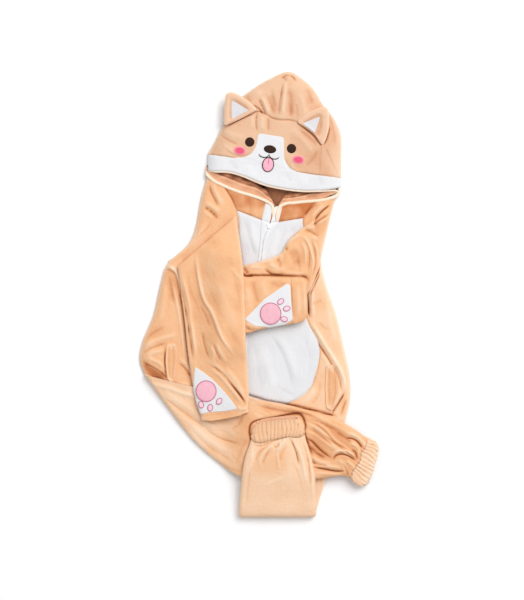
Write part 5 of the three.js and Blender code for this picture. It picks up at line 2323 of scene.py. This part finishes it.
LEFT_SLEEVE = Tube(
    "sleeve_left",
    rows_of(
        TubeRow,
        (106, 147, 121, 78, LAYER_ONE, 7),
        (80, 129, 114, 45, LAYER_ONE, SLEEVE_LOFT),
        (58, 109, 98, 7, LAYER_ONE, SLEEVE_LOFT),
        (40, 81, 72, -21, LAYER_ONE, SLEEVE_LOFT),
        (4, 67, 20, -41, LAYER_ONE, SLEEVE_LOFT),
        (-34, 57, -28, -55, LAYER_ONE, SLEEVE_LOFT),
        (-52, 49, -48, -63, LAYER_ONE, SLEEVE_LOFT),
        (-57, 47, -54, -68, LAYER_ONE + 4.55, SLEEVE_LOFT, 90),
        (-52, 44, -49, -72, DOUBLED, SLEEVE_LOFT, 180),
        (-30, 35, -30, -78, DOUBLED, SLEEVE_LOFT, 180),
        (4, 35, 4, -69, DOUBLED, SLEEVE_LOFT, 180),
        (62, 33, 64, -58, DOUBLED, SLEEVE_LOFT, 180),
        (93, 30, 95, -48, DOUBLED, SLEEVE_LOFT, 180),
    ),
    SLEEVE_LEFT_RELIEF,
    over=FOREARM_LEFT_RELIEF,
    cuff="cuff_left",
    wrist=11 / 12,
    rests_on=("belly_left_cloth",),
    held="folded",
    detail=(1, 0.85),
)
RIGHT_LEG = Tube(
    "leg_right",
    rows_of(
        TubeRow,
        (-230, -160, -26, -202, 1.2, 14.5),
        (-190, -217, 8, -211, 0, 11.5),
        (-136, -287, 42, -217),
        (-90, -329, 78, -226),
        (-34, -365, 120, -239),
        (50, -373, 152, -249),
        (116, -367, 180, -263),
        (168, -361, 205, -280),
        (188, -373, 222, -291),
        (212, -389, 242, -303),
    ),
    LEG_RIGHT_RELIEF,
    cuff="ankle_cuff_right",
    wrist=7.5 / 9,
    rests_on=("leg_left_cloth",),
    room=0.003,
    bed=leg_bed,
    ribs=1.8,
    pitch=2,
    puff=2.6,
    base=0.62,
    rim=0.1,
    fade=0.42,
    sag=8,
    band=0.3,
    fray=2.6,
    tints=(
        # the first tint is painted shade along the upper edge; the others deepen or pale the tone
        # in patches
        hollow(26, -0.12, -48, -235, -20, -223, 16, -221, 60, -231, 104, -247),
        hollow(20, -0.2, -28, -227, -28, -267, -34, -311),
        hollow(34, -0.17, 72, -251, 112, -275, 148, -299, 184, -315),
        hollow(26, 0.16, -148, -251, -104, -303, -60, -327),
    ),
    wander=((-1, 2), (-0.7, -2.5), (-0.3, 1), (0, 3), (0.3, -1), (0.6, 2.5), (1, -1)),
)
HIGH = LEG_STEP + 9.6 + 0.8  # height of the crossing leg's upper side
LEFT_LEG = Tube(
    "leg_left",
    rows_of(
        TubeRow,
        (-8, -216, 168, -256),
        (-10, -291, 156, -311),
        (-18, -361, 134, -363),
        (-34, -411, 118, -412),
        (-40, -433, 112, -433),
        (-42, -439, 112, -439, 5.3, 9.6, 90),
        (-42, -433, 112, -433, 10.6, 9.6, 180),
        (-40, -405, 112, -407, 14.8, 9.6, 180),
        (-38, -383, 111, -387, 18.6, 9.6, 180),
        (-35, -352, 109, -358, 23.2, 9.6, 180),
        (-29, -320, 102, -324, HIGH, 9.6, 180),
        (-18, -292, 89, -286, HIGH, 9.6, 180),
        (-14, -272, 86, -265, HIGH, 9.6, 180),
        (-11, -248, 82, -238, HIGH, 9.6, 180),
    ),
    LEG_LEFT_LOWER,
    over=LEG_LEFT_RELIEF,
    cuff="ankle_cuff_left",
    wrist=11 / 13,
    rests_on=("leg_right_cloth",),
    held="folded",
    room=0.002,
    ribs=1,
    puff=2.8,
    mouth=6.5,
    detail=(0.5, 1),
    base=0.8,
    band=-0.2,
    tints=(hollow(28, -0.2, -20, -319, 16, -331, 64, -331),),
    wander=(
        (-1, 4), (-0.85, -2), (-0.6, -4), (-0.1, 0.5), (0.35, 4.5), (0.6, 3.5), (0.8, 3), (1, 8)
    ),
)


@dataclass
class Limbs:
    """The two sleeves and the two legs, each with its cuff."""

    tubes: tuple[Tube, ...] = (RIGHT_LEG, LEFT_LEG, LEFT_SLEEVE, RIGHT_SLEEVE)

    def build(self, dresser: Dresser) -> dict[str, Ground]:
        """Makes and dresses the tubes.

        Args:
            dresser: Takes the finished pieces.

        Returns:
            The ground that each sleeve gives.
        """
        orange = dresser.finishes.orange
        grounds = {}
        for tube in self.tubes:
            main = tube.stretch(0, tube.wrist)
            grounds[tube.name] = Ground(main)
            dresser.sheet(tube.name, main, orange, tube.rests_on)
            band = tube.stretch(tube.wrist + tube.room, 1, True)
            dresser.sheet(tube.cuff, band, orange, [f"{tube.name}_cloth"])
        return grounds


@dataclass
class Paw:
    """A white corner patch with one large pad and three toes, sewn on a sleeve."""

    side: str
    patch: tuple[Point, ...]
    pad: tuple[float, float, float]
    toes: tuple[tuple[float, float, float], ...]

    def build(self, dresser: Dresser, sleeve: Ground) -> None:
        """Makes the patch and what is sewn on it.

        Args:
            dresser: Takes the finished pieces.
            sleeve: What it lies on.
        """
        done = dresser.finishes
        patch = lying(rounded(self.patch, 2.4, 1.6), sleeve, 1, 0.3, tone=0.6, rimmed=False)
        ground = Ground(patch)
        *middle, radius = self.pad
        pad = oval(middle, radius, radius * 1.03)
        spots = [(f"paw_pad_{self.side}", pad, done.pink, (0.8, 0.8, 1.2, 3.2), 1.3)]
        for i, (*middle, turn) in enumerate(self.toes, 1):
            toe = oval(middle, 4.9, 6.8, turn)
            spots.append((f"paw_toe_{self.side}_{i}", toe, done.toe, (0.7, 0.5, 1.2, 1.2), 1.2))
        parts = []
        for node, outline, finish, shape, width in spots:
            surface = lying(outline, ground, *shape, rimmed=False)
            parts.append(dresser.trim(f"{node}_patch", surface, finish, node, True))
            rim = stitched_line(outline, ground, width, 1.3, 0.9, True)
            parts.append(dresser.trim(f"{node}_outline", rim, done.dark_pink))
        rests = [f"sleeve_{self.side}_cloth"]
        dresser.sheet(f"paw_patch_{self.side}", patch, done.white, rests, lined=False, sewn=parts)


@dataclass
class Pocket:
    """The welt of a side pocket, with a row of stitches inside each long edge."""

    side: str
    corners: tuple[Point, ...]

    def build(self, dresser: Dresser, body: Ground) -> None:
        """Makes the welt and its stitches.

        Args:
            dresser: Takes the finished pieces.
            body: Front of the body.
        """
        node, done = f"pocket_{self.side}", dresser.finishes
        welt = lying(rounded(self.corners, 5, 1.8), body, 2.6, -1.3, 3, 2, rimmed=False)
        welt.tone = 0.46 + 0.28 * ramp(unit(len(welt.points))[:, None], 0.5, 0.85)
        rests = [f"front_{self.side}_cloth"]
        dresser.sheet(node, welt, done.orange, rests, lined=False, kind="welt")
        p = np.array(self.corners, float)
        inner = p.mean(0) + (p - p.mean(0)) * (0.45, 0.86)
        lines = [spline(inner[ends], unit(20)) for ends in ([0, 6, 5], [1, 3, 4])]
        stitches(f"{node}_stitches", lines, Ground(welt), done.thread, dresser)


@dataclass
class Studio:
    """Floor, lights and camera, in metres."""

    half: float = 9.0  # half the side of the floor
    floor_at: float = -0.0006  # just below the garment
    # each lamp's name, place, side and watts
    lamps: tuple[tuple[str, tuple[float, float, float], float, float], ...] = (
        ("key", (2, 2.3, 4), 3.8, 236),
        ("fill", (-1.6, -0.6, 2.4), 2.6, 12),
    )
    sky: float = 0.48  # strength of the light from all round
    camera_at: tuple[float, float, float] = (0.003, -0.0116, 4.0)
    lens: float = 120.0  # focal length, millimetres
    sensor: float = 36.0  # its width, millimetres

    def build(self) -> None:
        """Makes the pale floor, soft lights from above and a camera looking straight down."""
        scene = bpy.context.scene
        mesh = bpy.data.meshes.new("floor")
        h = self.half
        mesh.from_pydata([(-h, -h, 0), (h, -h, 0), (h, h, 0), (-h, h, 0)], [], [(0, 1, 2, 3)])
        mesh.materials.append(Plain("floor", (249, 249, 250), 0.95, 3).make())
        self.place("floor", mesh, (0, 0, self.floor_at))
        for lamp in self.lamps:
            self.lamp(*lamp)
        scene.world = bpy.data.worlds.new("studio")
        scene.world.use_nodes = True
        sky = scene.world.node_tree.nodes["Background"]
        sky.inputs["Color"].default_value = (1, 1, 1, 1)
        sky.inputs["Strength"].default_value = self.sky
        camera = bpy.data.cameras.new("camera")
        camera.lens = self.lens
        camera.sensor_width = self.sensor
        scene.camera = self.place("camera", camera, self.camera_at)
        scene.view_settings.view_transform = "Standard"

    def place(self, name: str, data: Any, where: tuple[float, float, float]) -> Piece:
        """Puts an object into the scene.

        Args:
            name: Name of the object.
            data: Its mesh, light or camera.
            where: Position, metres.

        Returns:
            The new object.
        """
        made = bpy.data.objects.new(name, data)
        made.location = where
        bpy.context.scene.collection.objects.link(made)
        return made

    def lamp(self, name: str, where: tuple[float, float, float], size: float, power: float) -> None:
        """Adds a square soft light aimed at the origin.

        Args:
            name: Name of the light.
            where: Position, metres.
            size: Side of the square, metres.
            power: Power, watts.
        """
        light = bpy.data.lights.new(name, "AREA")
        light.size = size
        light.energy = power
        lamp = self.place(name, light, where)
        lamp.rotation_euler = (-Vector(where)).to_track_quat("-Z", "Y").to_euler()


EARS = (
    Ear(
        "right",
        ((-68, 402), (-71, 369), (-72, 334), (-40, 348), (-4, 367), (-26, 387), (-50, 402)),
        ((-57, 387), (-57, 347), (-22, 366)),
    ),
    Ear(
        "left",
        ((71, 343), (96, 361), (122, 373), (134, 373), (138, 357), (137, 329), (130, 305),
         (123, 295), (108, 319), (88, 333)),
        ((84, 340), (120, 354), (109, 319)),
    ),
)
PAWS = (
    Paw(
        "right",
        ((-129, -144), (-132, -168), (-133, -190), (-127, -214), (-119, -238), (-100, -234),
         (-70, -232), (-45, -227), (-56, -211), (-76, -187), (-96, -167), (-114, -153)),
        (-107, -192, 20),
        ((-117, -219, 15), (-99, -225, -8), (-81, -212, -35)),
    ),
    Paw(
        "left",
        ((-31, -50), (10, -8), (54, 22), (60, 18), (62, -12), (65, -50), (50, -60), (20, -66),
         (-10, -62)),
        (21, -38, 20.5),
        ((41, -14, -50), (53, -28, -75), (48, -49, -105)),
    ),
)
POCKETS = (
    Pocket(
        "right",
        ((-186, -99), (-168, -97), (-164, -115), (-166, -139), (-174, -177), (-184, -171),
         (-188, -135)),
    ),
    Pocket(
        "left",
        ((132, -141), (154, -139), (160, -159), (158, -195), (144, -233), (132, -227), (130, -183)),
    ),
)


def main() -> None:
    """Builds the garment in order: body, zip, hood, limbs, trims, studio."""
    logging.basicConfig(level=logging.INFO, format="%(name)s: %(message)s")
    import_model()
    Studio().build()
    dresser = Dresser(Finishes())
    body = Body(covers=(RIGHT_SLEEVE.outline(0, 1), LEFT_SLEEVE.outline(0, 1)))
    LEFT_SLEEVE.covered = (LEFT_SLEEVE.outline(8 / 12, 1),)
    front = body.build(dresser)
    Zip(body).build(dresser, front)
    hood = Hood()
    on_hood = hood.build(dresser)
    Mouth().build(dresser)
    for ear in EARS:
        ear.build(dresser)
    Face(hood).build(dresser, on_hood)
    sleeves = Limbs().build(dresser)
    for paw in PAWS:
        paw.build(dresser, sleeves[f"sleeve_{paw.side}"])
    for pocket in POCKETS:
        pocket.build(dresser, front)
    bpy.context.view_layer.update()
    LOG.info("%d pieces", dresser.count)


if __name__ == "__main__":
    main()
